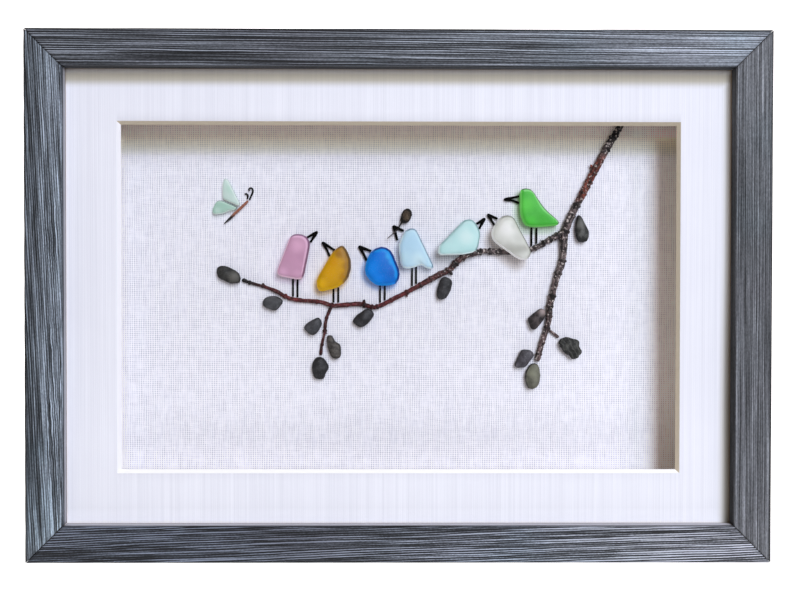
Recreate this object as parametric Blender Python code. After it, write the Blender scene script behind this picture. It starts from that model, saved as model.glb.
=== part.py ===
"""Framed sea glass art: seven beach-glass birds on a natural twig, with pebble
leaves and a small butterfly, mounted on a linen board in a deep mitred box
frame with a bevelled window mat.

Metres in Blender, millimetres in the tables below. X runs to the right, the
front faces -Y, Z is up. The origin is at the centre of the underside.
"""

import math

import bmesh
import bpy
from mathutils import Vector

MM = 0.001

# ---------------------------------------------------------------- frame sizes
OUT_W = 325.0          # outer width
OUT_H = 232.0          # outer height
DEPTH = 33.0           # front to back
RAIL_FACE = 15.8       # width of the moulding seen from the front
RAIL_WALL = 12.0       # moulding behind the lip, outside the rabbet
LIP = 5.0              # thickness of the lip in front of the rabbet
ARRIS = 0.7            # small chamfer on the moulding's long edges
MITRE_GAP = 0.3        # between two rails
FIT = 0.3              # clearance between neighbouring pieces

FRONT = -DEPTH / 2
BACK = DEPTH / 2
MID_Z = OUT_H / 2

# ------------------------------------------------------- what the rabbet holds
SHEET_W = OUT_W - 2 * RAIL_WALL - 2 * FIT      # mat, board and back board
SHEET_H = OUT_H - 2 * RAIL_WALL - 2 * FIT
MAT_THICK = 1.4
WINDOW_W = 249.2       # opening in the mat's front face
WINDOW_H = 155.6
WINDOW_DROP = 0.4      # the opening sits this much below the centre
SPACER_DEEP = 15.4     # distance strips between mat and board
SPACER_WIDE = 8.0
BOARD_THICK = 2.0
BACK_BOARD_THICK = 2.5

MAT_FRONT = FRONT + LIP + FIT
MAT_BACK = MAT_FRONT + MAT_THICK
SPACER_FRONT = MAT_BACK + FIT
SPACER_BACK = SPACER_FRONT + SPACER_DEEP
BOARD = SPACER_BACK + FIT                       # front surface of the board
BACK_BOARD = BOARD + BOARD_THICK + FIT

# sawtooth hanger on the back board
HANGER_L, HANGER_H, HANGER_T = 46.0, 9.0, 0.8
HANGER_RISE = 1.3
HANGER_TEETH = 9
HANGER_TOOTH = 2.0
HANGER_Z = 196.0

# ------------------------------------------------------------------- the twig
# centre line seen from the front: x, z, radius
MAIN = [
    (-72.3, 123.5, 0.5), (-69.4, 122.4, 0.7), (-64.4, 121.0, 0.65), (-57.6, 118.7, 0.85),
    (-53.1, 116.2, 0.9), (-48.6, 114.5, 0.9), (-36.2, 113.4, 0.9), (-30.7, 111.7, 1.05),
    (-18.0, 112.6, 0.95), (-10.8, 111.0, 1.0), (-0.4, 116.0, 1.05), (7.5, 120.0, 1.1),
    (18.7, 126.2, 1.2), (23.4, 128.2, 1.3), (29.0, 133.8, 1.3), (38.7, 137.0, 1.2),
    (51.3, 136.8, 1.2), (61.6, 138.0, 1.15), (68.1, 141.3, 1.25), (77.2, 146.2, 1.3),
]
STEM = [
    (105.0, 199.2, 1.25), (102.8, 195.2, 1.3), (96.5, 184.9, 1.5), (88.4, 169.6, 1.55),
    (80.6, 154.5, 1.6), (77.3, 146.5, 1.6), (76.5, 135.9, 1.4), (76.0, 131.2, 1.4),
    (73.9, 126.4, 1.4), (70.6, 112.5, 1.35), (69.7, 104.0, 1.3), (66.8, 94.4, 1.2),
    (64.7, 86.9, 1.1),
]
SHOOT = [
    (-31.2, 111.6, 0.85), (-33.9, 105.2, 0.75), (-34.4, 99.9, 0.7), (-35.9, 93.1, 0.6),
    (-36.3, 89.2, 0.5),
]
SIDE_TWIG = [(69.4, 100.9, 0.6), (72.2, 98.9, 0.5), (74.3, 97.3, 0.4)]
# buds and broken stubs: foot x, z, tip x, z, foot radius
SPURS = [
    (-61.0, 119.9, -63.4, 122.0, 0.55), (-16.4, 112.5, -16.0, 114.3, 0.7),
    (3.0, 117.6, 3.9, 115.9, 0.6), (23.4, 128.0, 24.9, 126.7, 0.6),
    (90.9, 174.6, 89.3, 177.3, 0.6), (99.3, 189.4, 102.0, 190.6, 0.7),
    (-34.5, 99.4, -33.2, 98.7, 0.45), (66.6, 140.6, 65.9, 142.6, 0.5),
]
TWIG_SIDES = 8
TWIG_STEP = 2.9

# ------------------------------------------------------------------ the glass
# Each nugget of glass: corners as x, z, and how far from the corner its
# rounding starts; thickness, width of the rounded edge, and how far its lower
# edge stands forward where it leans on the twig.
LEAN = 2.95
GLASS = {
    "pink": dict(
        corners=[(-49.9, 144.9, 3.0), (-43.6, 144.8, 2.6), (-40.8, 141.0, 2.4), (-44.5, 123.4, 3.0), (-57.1, 125.7, 2.8)],
        thick=5.0, edge=2.0, lean=0.0, colour=(197, 148, 185)),
    "amber": dict(
        corners=[(-26.0, 140.4, 1.9), (-21.6, 133.4, 4.4), (-22.7, 124.4, 4.2), (-28.0, 120.0, 3.0),
                 (-37.1, 117.9, 2.0), (-38.6, 123.0, 2.6), (-30.4, 137.0, 2.4)],
        thick=6.6, edge=2.8, lean=0.0, colour=(214, 155, 22)),
    "cobalt": dict(
        corners=[(-13.0, 137.0, 2.2), (-8.2, 139.5, 2.4), (-3.6, 137.7, 2.4), (1.0, 126.4, 2.6),
                 (-1.0, 121.3, 2.8), (-10.8, 120.8, 3.0), (-15.9, 126.0, 3.0), (-15.6, 131.0, 2.4)],
        thick=6.6, edge=2.8, lean=0.0, colour=(5, 115, 225)),
    "sky": dict(
        corners=[(7.5, 148.1, 2.1), (16.6, 129.1, 1.6), (13.7, 128.6, 1.2), (10.8, 130.8, 1.4),
                 (6.3, 129.1, 1.8), (1.2, 129.0, 2.2), (-0.5, 139.8, 3.4), (3.0, 147.0, 2.2)],
        thick=5.4, edge=2.2, lean=0.0, colour=(178, 218, 238)),
    "aqua": dict(
        corners=[(30.6, 151.9, 1.8), (34.3, 151.8, 1.8), (37.9, 146.0, 2.6), (36.0, 136.9, 2.4),
                 (29.5, 135.2, 2.6), (17.9, 135.1, 1.8), (18.0, 138.9, 1.6)],
        thick=5.0, edge=2.2, lean=LEAN, colour=(180, 226, 226)),
    "clear": dict(
        corners=[(47.8, 153.7, 1.9), (52.6, 153.6, 1.9), (61.2, 136.0, 2.4), (58.8, 132.4, 2.0),
                 (54.2, 133.5, 1.8), (42.7, 142.2, 3.0), (42.5, 146.8, 2.4)],
        thick=5.0, edge=2.3, lean=LEAN + 0.5, colour=(215, 222, 216)),
    "green": dict(
        corners=[(56.2, 166.3, 2.0), (61.1, 166.2, 2.2), (67.4, 156.9, 2.6), (74.7, 150.2, 1.2),
                 (73.2, 149.0, 1.0), (64.4, 148.2, 2.5), (58.2, 148.5, 2.6), (56.0, 154.6, 2.4)],
        thick=4.6, edge=1.8, lean=0.0, colour=(72, 195, 65)),
}
WINGS = {
    "butterfly_wing_upper": dict(
        corners=[(-81.0, 170.9, 0.9), (-79.3, 170.3, 1.1), (-73.5, 158.7, 0.7), (-74.8, 158.1, 0.6),
                 (-81.8, 161.1, 1.0), (-82.0, 167.2, 1.8)],
        thick=2.4, edge=1.0, lean=0.0, colour=(175, 215, 195)),
    "butterfly_wing_lower": dict(
        corners=[(-82.4, 160.7, 1.8), (-74.7, 157.2, 0.7), (-76.1, 156.0, 0.7), (-78.2, 155.9, 1.0),
                 (-81.4, 154.4, 1.5), (-86.2, 153.9, 1.1), (-86.8, 155.8, 1.0), (-84.8, 160.3, 1.8)],
        thick=2.4, edge=1.0, lean=0.0, colour=(140, 195, 165)),
}
GLASS_ARC = 3          # points on each rounded corner
GLASS_RINGS = 6

# ---------------------------------------------------------------- the pebbles
PEBBLE_THICK = 3.6
PEBBLES = [
    dict(corners=[(-84.6, 129.8, 2.2), (-80.8, 130.6, 1.8), (-73.8, 127.0, 2.4), (-73.2, 122.3, 1.8), (-77.5, 121.6, 2.0), (-84.4, 124.6, 2.0)], colour=(62, 62, 58)),
    dict(corners=[(-59.6, 116.4, 1.6), (-56.0, 116.1, 1.4), (-53.3, 113.9, 1.5), (-57.1, 108.7, 1.8), (-63.7, 111.8, 1.8), (-62.9, 114.8, 1.2)], colour=(85, 92, 92)),
    dict(corners=[(-37.0, 106.8, 1.5), (-35.4, 103.4, 1.4), (-38.3, 98.3, 1.6), (-41.0, 97.7, 1.4), (-44.6, 101.4, 1.2), (-42.9, 103.6, 1.0)], colour=(72, 76, 80)),
    dict(corners=[(-33.5, 98.0, 1.0), (-31.2, 98.1, 1.0), (-29.8, 95.0, 1.2), (-27.0, 93.6, 1.4), (-26.9, 87.2, 1.8), (-30.8, 86.8, 1.6), (-33.4, 92.5, 2.2)], colour=(72, 66, 60)),
    dict(corners=[(-38.4, 88.4, 2.0), (-34.6, 87.5, 1.8), (-32.0, 83.0, 1.4), (-34.2, 80.0, 0.8), (-34.6, 77.4, 1.3), (-39.0, 77.2, 1.8), (-41.0, 83.0, 2.6)], colour=(48, 50, 50)),
    dict(corners=[(-15.4, 110.4, 1.2), (-12.9, 110.0, 1.0), (-11.0, 107.8, 1.4), (-14.4, 103.0, 2.0), (-18.0, 101.3, 1.4), (-22.0, 104.2, 1.2), (-20.2, 106.9, 1.4)], colour=(66, 70, 72)),
    dict(corners=[(21.9, 125.4, 1.2), (25.2, 123.6, 1.5), (24.2, 119.0, 2.0), (22.2, 114.9, 1.6), (18.2, 114.4, 1.6), (17.2, 118.2, 2.0), (19.5, 124.8, 1.8)], colour=(70, 75, 76)),
    dict(corners=[(83.1, 154.3, 1.0), (84.7, 153.5, 1.3), (88.6, 146.4, 2.6), (87.6, 141.3, 1.8), (83.4, 141.2, 1.8), (81.5, 147.0, 2.6)], colour=(60, 62, 60)),
    dict(corners=[(66.1, 110.8, 1.2), (68.3, 109.8, 1.2), (68.1, 106.0, 1.4), (63.6, 100.4, 1.2), (61.6, 100.8, 1.0), (59.8, 105.8, 1.0), (62.6, 108.2, 1.2)], colour=(78, 68, 66)),
    dict(corners=[(75.0, 96.5, 0.9), (77.6, 97.5, 1.0), (82.2, 96.3, 0.8), (84.0, 95.2, 0.5), (84.0, 93.2, 0.6), (85.3, 90.2, 0.7), (83.1, 86.9, 0.8), (81.0, 86.8, 0.9), (76.1, 91.0, 1.2), (74.5, 93.8, 1.0)], colour=(56, 62, 56)),
    dict(corners=[(57.2, 91.5, 1.0), (61.8, 91.2, 1.2), (63.3, 88.8, 0.9), (60.2, 84.6, 1.0), (58.9, 82.9, 0.8), (54.2, 82.8, 0.9), (53.9, 84.6, 0.7), (56.0, 88.8, 1.0)], colour=(84, 78, 84)),
    dict(corners=[(62.0, 85.2, 1.4), (65.0, 84.8, 1.4), (66.4, 79.5, 2.6), (64.7, 73.3, 2.0), (60.2, 72.9, 1.8), (58.3, 78.8, 2.6), (60.4, 83.6, 1.4)], colour=(122, 126, 100)),
]
PEBBLE_ARC = 3
PEBBLE_RINGS = 4

# ------------------------------------------------ beaks, legs and small strokes
WIRE = 0.9             # black wire laid on the board
# end of upper stroke, tip, end of lower stroke, wire width, bow of lower stroke
BEAKS = {
    "pink": ((-42.7, 143.5), (-38.2, 145.9), (-41.2, 141.2), WIRE, 0.0),
    "amber": ((-29.9, 137.6), (-35.4, 141.0), (-32.2, 134.7), WIRE, 0.25),
    "cobalt": ((-12.9, 137.2), (-18.3, 139.1), (-14.9, 132.6), 1.05, 0.15),
    "sky": ((2.3, 146.6), (-2.4, 148.6), (-0.7, 142.2), 1.0, 0.0),
    "aqua": ((36.2, 149.9), (39.9, 152.2), (37.5, 147.6), WIRE, 0.0),
    "clear": ((46.0, 152.3), (41.6, 154.1), (44.6, 149.3), WIRE, 0.0),
    "green": ((56.0, 162.8), (49.5, 161.3), (56.0, 159.6), WIRE, 0.45),
}
# leg x positions and the height of the glass above them
LEGS = {
    "pink": ((-49.3, 124.0), (-47.2, 123.7)),
    "amber": ((-30.4, 119.5), (-28.2, 120.0)),
    "cobalt": ((-8.7, 120.9), (-6.5, 121.0)),
    "sky": ((6.2, 129.2), (8.1, 129.7)),
    "green": ((61.9, 148.0), (64.2, 147.9)),
}
SPRIG = [(-5.3, 142.9, 0.22), (-1.2, 146.5, 0.34), (0.1, 148.2, 0.38), (1.0, 150.0, 0.42), (1.9, 151.6, 0.5)]
SPRIG_BUD = [(3.6, 157.3, 1.2), (5.7, 156.4, 1.2), (6.4, 153.9, 1.4), (4.6, 150.3, 1.3), (1.6, 149.8, 1.0), (0.4, 151.3, 1.0), (1.4, 155.4, 1.6)]
SPRIG_BUD_THICK = 3.0
BUTTERFLY_BODY = [(-70.3, 160.3, 0.5), (-72.6, 158.0, 0.66), (-76.0, 154.8, 0.66), (-78.6, 152.2, 0.6), (-81.3, 149.9, 0.22)]
ANTENNA_LONG = [(-69.5, 161.1, 0.36), (-68.6, 163.1, 0.4), (-67.9, 165.0, 0.4), (-68.3, 166.2, 0.36), (-69.2, 166.5, 0.32), (-69.9, 165.9, 0.34), (-69.6, 165.2, 0.3)]
ANTENNA_SHORT = [(-70.6, 161.4, 0.3), (-70.2, 162.8, 0.38), (-70.8, 163.7, 0.36), (-71.7, 163.6, 0.34)]


# ------------------------------------------------------------------- materials
def linear(c):
    c = c / 255.0
    return c / 12.92 if c <= 0.04045 else ((c + 0.055) / 1.055) ** 2.4


def material(name, rgb, roughness, metallic=0.0, transmission=0.0):
    mat = bpy.data.materials.new(name)
    mat.use_nodes = True
    bsdf = mat.node_tree.nodes["Principled BSDF"]
    bsdf.inputs["Base Color"].default_value = [linear(c) for c in rgb] + [1.0]
    bsdf.inputs["Roughness"].default_value = roughness
    bsdf.inputs["Metallic"].default_value = metallic
    bsdf.inputs["Transmission Weight"].default_value = transmission
    return mat


# ---------------------------------------------------------------- mesh helpers
def add_mesh(name, points, faces, mat, smooth_deg=None):
    """One object from points in millimetres; its faces are turned outwards."""
    mesh = bpy.data.meshes.new(name)
    mesh.from_pydata([(x * MM, y * MM, z * MM) for x, y, z in points], [], faces)
    bm = bmesh.new()
    bm.from_mesh(mesh)
    bmesh.ops.recalc_face_normals(bm, faces=bm.faces)
    if bm.calc_volume(signed=True) < 0:
        bmesh.ops.reverse_faces(bm, faces=bm.faces)
    bm.to_mesh(mesh)
    bm.free()
    mesh.materials.append(mat)
    if smooth_deg is not None:
        mesh.shade_smooth()
        mesh.set_sharp_from_angle(angle=math.radians(smooth_deg))
    obj = bpy.data.objects.new(name, mesh)
    bpy.context.scene.collection.objects.link(obj)
    return obj


def loft(name, rings, mat, smooth_deg=None):
    """A closed body through rings of equal length, flat at both ends."""
    n = len(rings[0])
    points = [p for ring in rings for p in ring]
    faces = [tuple(range(n))]
    for k in range(len(rings) - 1):
        for i in range(n):
            j = (i + 1) % n
            faces.append((k * n + i, k * n + j, (k + 1) * n + j, (k + 1) * n + i))
    faces.append(tuple((len(rings) - 1) * n + i for i in reversed(range(n))))
    return add_mesh(name, points, faces, mat, smooth_deg)


def box(name, x0, x1, y0, y1, z0, z1, mat):
    rings = [[(x0, y, z0), (x1, y, z0), (x1, y, z1), (x0, y, z1)] for y in (y0, y1)]
    return loft(name, rings, mat)


def rounded(corners, arc):
    """Corner table to an outline: a quadratic curve rounds every corner."""
    n = len(corners)
    out = []
    for i, (cx, cz, t) in enumerate(corners):
        p = Vector((cx, cz))
        a = Vector(corners[i - 1][:2]) - p
        b = Vector(corners[(i + 1) % n][:2]) - p
        pa = p + a.normalized() * min(t, 0.48 * a.length)
        pb = p + b.normalized() * min(t, 0.48 * b.length)
        for k in range(arc):
            s = k / (arc - 1)
            out.append(pa * (1 - s) ** 2 + p * 2 * s * (1 - s) + pb * s ** 2)
    return out


def nugget(name, corners, thick, edge, lean, mat, arc, rings, back=BOARD - FIT, dome=0.06):
    """A worn, pillow-edged piece lying on the board: flat behind, its edge
    rounded, its front slightly domed. A leaning piece slopes forward below."""
    outline = rounded(corners, arc)
    centre = sum(outline, Vector((0, 0))) / len(outline)
    top = max(p.y for p in outline)
    low = min(p.y for p in outline)
    body = thick * (1 - dome)

    def place(p, height):
        forward = lean * (top - p.y) / (top - low)
        return (p.x, back - forward - height, p.y)

    layers = []
    for k in range(rings):
        a = -math.pi / 2 * 0.86 + math.pi * 0.93 * k / (rings - 1)
        inset = edge * (1 - math.cos(a))
        height = body * 0.5 * (1 + math.sin(a))
        if k == 0:
            height = 0.0
        layers.append([place(p - (p - centre).normalized() * min(inset, 0.75 * (p - centre).length), height) for p in outline])
    last = layers[-1]
    n = len(outline)
    flat = [Vector((p[0], p[2])) for p in last]
    layers.append([place(centre + (p - centre) * 0.45, thick * (1 - dome * 0.25)) for p in flat])
    points = [p for layer in layers for p in layer]
    faces = [tuple(range(n))]
    for k in range(len(layers) - 1):
        for i in range(n):
            j = (i + 1) % n
            faces.append((k * n + i, k * n + j, (k + 1) * n + j, (k + 1) * n + i))
    hub = len(points)
    points.append(place(centre, thick))
    base = (len(layers) - 1) * n
    for i in range(n):
        faces.append((base + i, base + (i + 1) % n, hub))
    return add_mesh(name, points, faces, mat, 60)


def spline(points, step):
    """A smooth curve through the points, read at an even step."""
    dense = []
    ext = [points[0]] + list(points) + [points[-1]]
    for i in range(1, len(ext) - 2):
        p0, p1, p2, p3 = (Vector(q) for q in ext[i - 1:i + 3])
        for k in range(12):
            t = k / 12
            dense.append(0.5 * (2 * p1 + (p2 - p0) * t + (2 * p0 - 5 * p1 + 4 * p2 - p3) * t ** 2 + (3 * p1 - p0 - 3 * p2 + p3) * t ** 3))
    dense.append(Vector(points[-1]))
    length = [0.0]
    for a, b in zip(dense, dense[1:]):
        length.append(length[-1] + (b - a).length)
    count = max(2, round(length[-1] / step))
    out, j = [], 0
    for k in range(count + 1):
        want = length[-1] * k / count
        while j < len(dense) - 2 and length[j + 1] < want:
            j += 1
        f = (want - length[j]) / max(length[j + 1] - length[j], 1e-9)
        out.append(dense[j].lerp(dense[j + 1], min(max(f, 0.0), 1.0)))
    return out


def tube(name, points, mat, sides, step, back=None, ends=0.55):
    """A round rod along x, z, radius points, lying against the board, with
    both ends slightly rounded."""
    line = spline(points, step)
    rings = []
    last = len(line) - 1
    for k, p in enumerate(line):
        q = line[min(k + 1, last)] - line[max(k - 1, 0)]
        t = Vector((q.x, q.y)).normalized()
        side = Vector((-t.y, t.x))
        r = p.z
        depth = (BOARD - FIT - r) if back is None else back
        stations = [(0.0, 1.0)]
        if k == 0:
            stations = [(-r * ends, ends + 0.05), (0.0, 1.0)]
        elif k == last:
            stations = [(0.0, 1.0), (r * ends, ends + 0.05)]
        for along, scale in stations:
            c = Vector((p.x, p.y)) + t * along
            rings.append([
                (c.x + side.x * r * scale * math.cos(a), depth + r * scale * math.sin(a), c.y + side.y * r * scale * math.cos(a))
                for a in (2 * math.pi * i / sides for i in range(sides))
            ])
    return loft(name, rings, mat, 50)


def join(obj, cutters):
    """Boolean union of helpers into one body; the helpers stay hidden."""
    for cutter in cutters:
        cutter.hide_render = True
        cutter.display_type = "WIRE"
        mod = obj.modifiers.new("join_" + cutter.name, "BOOLEAN")
        mod.operation = "UNION"
        mod.solver = "EXACT"
        mod.object = cutter


def centre_line_height(x):
    """Height of the main twig's upper edge at this x."""
    line = spline(MAIN, 1.0)
    for a, b in zip(line, line[1:]):
        if a.x <= x <= b.x:
            f = (x - a.x) / (b.x - a.x)
            slope = math.atan2(b.y - a.y, b.x - a.x)
            return a.y + (b.y - a.y) * f + (a.z + (b.z - a.z) * f) / math.cos(slope)
    return 0.0


def vee(name, a, tip, b, width, bow, mat, back=BOARD - FIT):
    """A bent wire, two strokes meeting at a blunt tip, as one flat-lying body."""
    a, tip, b = Vector(a), Vector(tip), Vector(b)
    da, db = (a - tip).normalized(), (b - tip).normalized()
    cross = da.x * db.y - da.y * db.x
    turn = 1 if cross > 0 else -1
    na = Vector((da.y, -da.x)) * turn       # away from the other stroke
    nb = Vector((-db.y, db.x)) * turn
    half = math.acos(max(-1, min(1, da.dot(db)))) / 2

    def outline(w):
        h = w / 2
        mid = (da + db).normalized()
        crotch = tip + mid * (h / math.sin(half))
        bend = nb * bow
        return [
            a + na * h, a - na * h,
            (a - na * h).lerp(crotch, 0.5),
            crotch,
            (b - nb * h).lerp(crotch, 0.5) - bend,
            b - nb * h, b + nb * h,
            (b + nb * h).lerp(tip + nb * h, 0.5) - bend,
            tip + nb * h, tip - mid * h * 0.8, tip + na * h,
            (a + na * h).lerp(tip + na * h, 0.5),
        ]

    layers = []
    for height, w in ((0.0, width * 0.72), (0.22 * width, width), (0.72 * width, width), (width, width * 0.66)):
        layers.append([(p.x, back - height, p.y) for p in outline(w)])
    return loft(name, layers, mat)


# ---------------------------------------------------------------------- pieces
def rail(name, side, mat):
    """One mitred length of moulding. u is the distance in from the outer edge."""
    c = ARRIS
    profile = [
        (0.0, FRONT + c), (c, FRONT), (RAIL_FACE - c, FRONT), (RAIL_FACE, FRONT + c),
        (RAIL_FACE, FRONT + LIP), (RAIL_WALL, FRONT + LIP), (RAIL_WALL, BACK - 0.2), (RAIL_WALL - 0.2, BACK),
        (0.4, BACK), (0.0, BACK - 0.4),
    ]
    trim = MITRE_GAP / 2 * math.sqrt(2)
    rings = []
    for end in (-1, 1):
        ring = []
        for u, y in profile:
            if side in ("top", "bottom"):
                x = end * (OUT_W / 2 - u - trim)
                z = u if side == "bottom" else OUT_H - u
            else:
                z = MID_Z + end * (OUT_H / 2 - u - trim)
                x = -OUT_W / 2 + u if side == "left" else OUT_W / 2 - u
            ring.append((x, y, z))
        rings.append(ring)
    return loft(name, rings, mat)


def window_mat(mat):
    """The mat: an even sheet whose opening is cut at 45 degrees, so that the
    cream core shows all round."""
    z = MID_Z - WINDOW_DROP
    w, h = WINDOW_W / 2, WINDOW_H / 2
    t = MAT_THICK
    sx, sz = SHEET_W / 2, SHEET_H / 2

    def rect(hw, hh, y, cz):
        return [(-hw, y, cz - hh), (hw, y, cz - hh), (hw, y, cz + hh), (-hw, y, cz + hh)]

    rings = [
        rect(sx, sz, MAT_FRONT, MID_Z), rect(w, h, MAT_FRONT, z),
        rect(w - t, h - t, MAT_BACK, z), rect(sx, sz, MAT_BACK, MID_Z),
    ]
    points = [p for ring in rings for p in ring]
    faces = []
    for k in range(4):
        for i in range(4):
            j = (i + 1) % 4
            a, b = 4 * k, 4 * ((k + 1) % 4)
            faces.append((a + i, a + j, b + j, b + i))
    return add_mesh("window_mat", points, faces, mat)


def hanger(mat):
    """Sawtooth strip: flat at its ends, raised in the middle, toothed below."""
    back_face = BACK_BOARD + BACK_BOARD_THICK + FIT
    span = HANGER_L * 0.55
    end = (HANGER_L - span) / 2
    columns = [(-HANGER_L / 2 + end * k / 4, 0.0) for k in range(5)]
    for k in range(1, 2 * HANGER_TEETH + 1):
        columns.append((-span / 2 + span * k / (2 * HANGER_TEETH + 1), HANGER_TOOTH if k % 2 else 0.4))
    columns += [(span / 2 + end * k / 4, 0.0) for k in range(5)]
    rings = []
    for x, notch in columns:
        s = min(max((HANGER_L / 2 - 5.0 - abs(x)) / 3.0, 0.0), 1.0)
        rise = HANGER_RISE * s * s * (3 - 2 * s)
        y0 = back_face + rise
        y1 = y0 + HANGER_T
        z1 = HANGER_Z + HANGER_H / 2
        z0 = HANGER_Z - HANGER_H / 2 + notch
        rings.append([(x, y0, z0), (x, y1, z0), (x, y1, z1), (x, y0, z1)])
    return loft("sawtooth_hanger", rings, mat)


def branch(mat):
    twig = tube("branch", MAIN, mat, TWIG_SIDES, TWIG_STEP)
    helpers = [
        tube("cut_stem", STEM, mat, TWIG_SIDES, TWIG_STEP),
        tube("cut_shoot", SHOOT, mat, 6, TWIG_STEP),
        tube("cut_side_twig", SIDE_TWIG, mat, 6, TWIG_STEP),
    ]
    for k, (x0, z0, x1, z1, r) in enumerate(SPURS):
        helpers.append(tube("cut_spur_%d" % k, [(x0, z0, r), (x1, z1, r * 0.6)], mat, 5, 3.0, back=BOARD - FIT - r - 0.35))
    join(twig, helpers)


def main():
    for obj in list(bpy.data.objects):
        bpy.data.objects.remove(obj, do_unlink=True)
    bpy.context.scene.unit_settings.system = "METRIC"

    wood = material("stained_wood", (100, 108, 120), 0.62)
    card = material("ribbed_card", (236, 238, 248), 0.9)
    foam = material("foam_strip", (240, 240, 240), 0.85)
    linen = material("linen_board", (234, 236, 246), 0.92)
    hardboard = material("hardboard", (122, 92, 62), 0.8)
    zinc = material("zinc_steel", (170, 172, 176), 0.38, 1.0)
    bark = material("bark", (88, 52, 44), 0.78)
    ink = material("black_wire", (16, 15, 15), 0.55)
    seed = material("dried_bud", (70, 58, 46), 0.85)
    fibre = material("brown_twig", (150, 95, 75), 0.7)

    for side in ("bottom", "top", "left", "right"):
        rail("frame_rail_" + side, side, wood)
    window_mat(card)

    sx, sz = SHEET_W / 2, SHEET_H / 2
    for side, s in (("bottom", -1), ("top", 1)):
        z_out = MID_Z + s * sz
        z_in = MID_Z + s * (sz - SPACER_WIDE)
        box("spacer_strip_" + side, -sx, sx, SPACER_FRONT, SPACER_BACK, min(z_out, z_in), max(z_out, z_in), foam)
    reach = sz - SPACER_WIDE - FIT
    for side, s in (("left", -1), ("right", 1)):
        x_out, x_in = s * sx, s * (sx - SPACER_WIDE)
        box("spacer_strip_" + side, min(x_out, x_in), max(x_out, x_in), SPACER_FRONT, SPACER_BACK, MID_Z - reach, MID_Z + reach, foam)
    box("backing_panel", -sx, sx, BOARD, BOARD + BOARD_THICK, MID_Z - sz, MID_Z + sz, linen)
    box("back_board", -sx, sx, BACK_BOARD, BACK_BOARD + BACK_BOARD_THICK, MID_Z - sz, MID_Z + sz, hardboard)
    hanger(zinc)

    branch(bark)

    for colour, g in GLASS.items():
        glass = material("sea_glass_" + colour, g["colour"], 0.5, 0.0, 0.35)
        nugget("bird_%s_body" % colour, g["corners"], g["thick"], g["edge"], g["lean"], glass, GLASS_ARC + (len(g["corners"]) < 6), GLASS_RINGS)
    for name, g in WINGS.items():
        glass = material("sea_glass_" + name, g["colour"], 0.5, 0.0, 0.35)
        nugget(name, g["corners"], g["thick"], g["edge"], g["lean"], glass, 3, 5)

    for colour, (a, tip, b, width, bow) in BEAKS.items():
        vee("bird_%s_beak" % colour, a, tip, b, width, bow, ink)
    for colour, pair in LEGS.items():
        for side, (x, z_top) in zip(("left", "right"), pair):
            z_low = centre_line_height(x) + FIT + 0.25
            r = WIRE / 2
            tube("bird_%s_leg_%s" % (colour, side), [(x, z_low, r), (x, z_top, r)], ink, 6, 40.0)

    for k, p in enumerate(PEBBLES, 1):
        stone = material("pebble_%02d" % k, p["colour"], 0.55)
        nugget("pebble_%02d" % k, p["corners"], PEBBLE_THICK, 1.5, 0.0, stone, PEBBLE_ARC, PEBBLE_RINGS, dome=0.14)

    sprig = tube("sprig", SPRIG, seed, 6, 2.2, back=BOARD - FIT - 1.05 - FIT - 0.6)
    bud = nugget("cut_bud", SPRIG_BUD, SPRIG_BUD_THICK, 1.3, 0.0, seed, 3, 5, dome=0.15)
    join(sprig, [bud])

    tube("butterfly_body", BUTTERFLY_BODY, fibre, 8, 1.6)
    tube("butterfly_antenna_long", ANTENNA_LONG, ink, 6, 0.7)
    tube("butterfly_antenna_short", ANTENNA_SHORT, ink, 6, 0.8)


main()
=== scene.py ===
import math

import bmesh
import bpy
import numpy as np
from mathutils import Matrix, Vector


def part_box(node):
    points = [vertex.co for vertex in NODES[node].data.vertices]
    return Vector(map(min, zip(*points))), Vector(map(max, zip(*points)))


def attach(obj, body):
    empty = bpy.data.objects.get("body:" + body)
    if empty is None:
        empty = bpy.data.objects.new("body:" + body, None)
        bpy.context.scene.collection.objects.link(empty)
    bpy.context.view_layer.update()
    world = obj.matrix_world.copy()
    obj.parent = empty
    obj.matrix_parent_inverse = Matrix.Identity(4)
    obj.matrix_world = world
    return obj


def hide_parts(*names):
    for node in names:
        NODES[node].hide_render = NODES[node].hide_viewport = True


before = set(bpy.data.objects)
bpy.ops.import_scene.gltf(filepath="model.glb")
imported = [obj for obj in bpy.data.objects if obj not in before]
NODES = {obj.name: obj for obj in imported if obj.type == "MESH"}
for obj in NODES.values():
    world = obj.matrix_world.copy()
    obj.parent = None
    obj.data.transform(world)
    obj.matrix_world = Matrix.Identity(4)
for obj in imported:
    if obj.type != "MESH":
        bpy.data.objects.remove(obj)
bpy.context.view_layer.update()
MM = 0.001


# ------------------------------------------------------------ measures of the frame
def lo_hi(node):
    lo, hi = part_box(node)
    return np.array(lo) / MM, np.array(hi) / MM


_l, _h = lo_hi("frame_rail_left")
_r, _ = lo_hi("frame_rail_right")
_t, _th = lo_hi("frame_rail_top")
OUT_W = 2 * abs(_l[0])
OUT_H = _th[2]
FRONT, BACK = _l[1], _h[1]
MID_Z = OUT_H / 2
RAIL_FACE = _h[0] - _l[0]
_ml, _mh = lo_hi("window_mat")
MAT_FRONT, MAT_BACK = _ml[1], _mh[1]
SHEET_W, SHEET_H = _mh[0] - _ml[0], _mh[2] - _ml[2]
_bl, _bh = lo_hi("backing_panel")
BOARD, BOARD_BACK = _bl[1], _bh[1]
RAIL_WALL = OUT_W / 2 - SHEET_W / 2 - 0.3
LIP = MAT_FRONT - 0.3 - FRONT
WINDOW_W, WINDOW_H, WINDOW_DROP = 249.2, 155.6, 0.4

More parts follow.
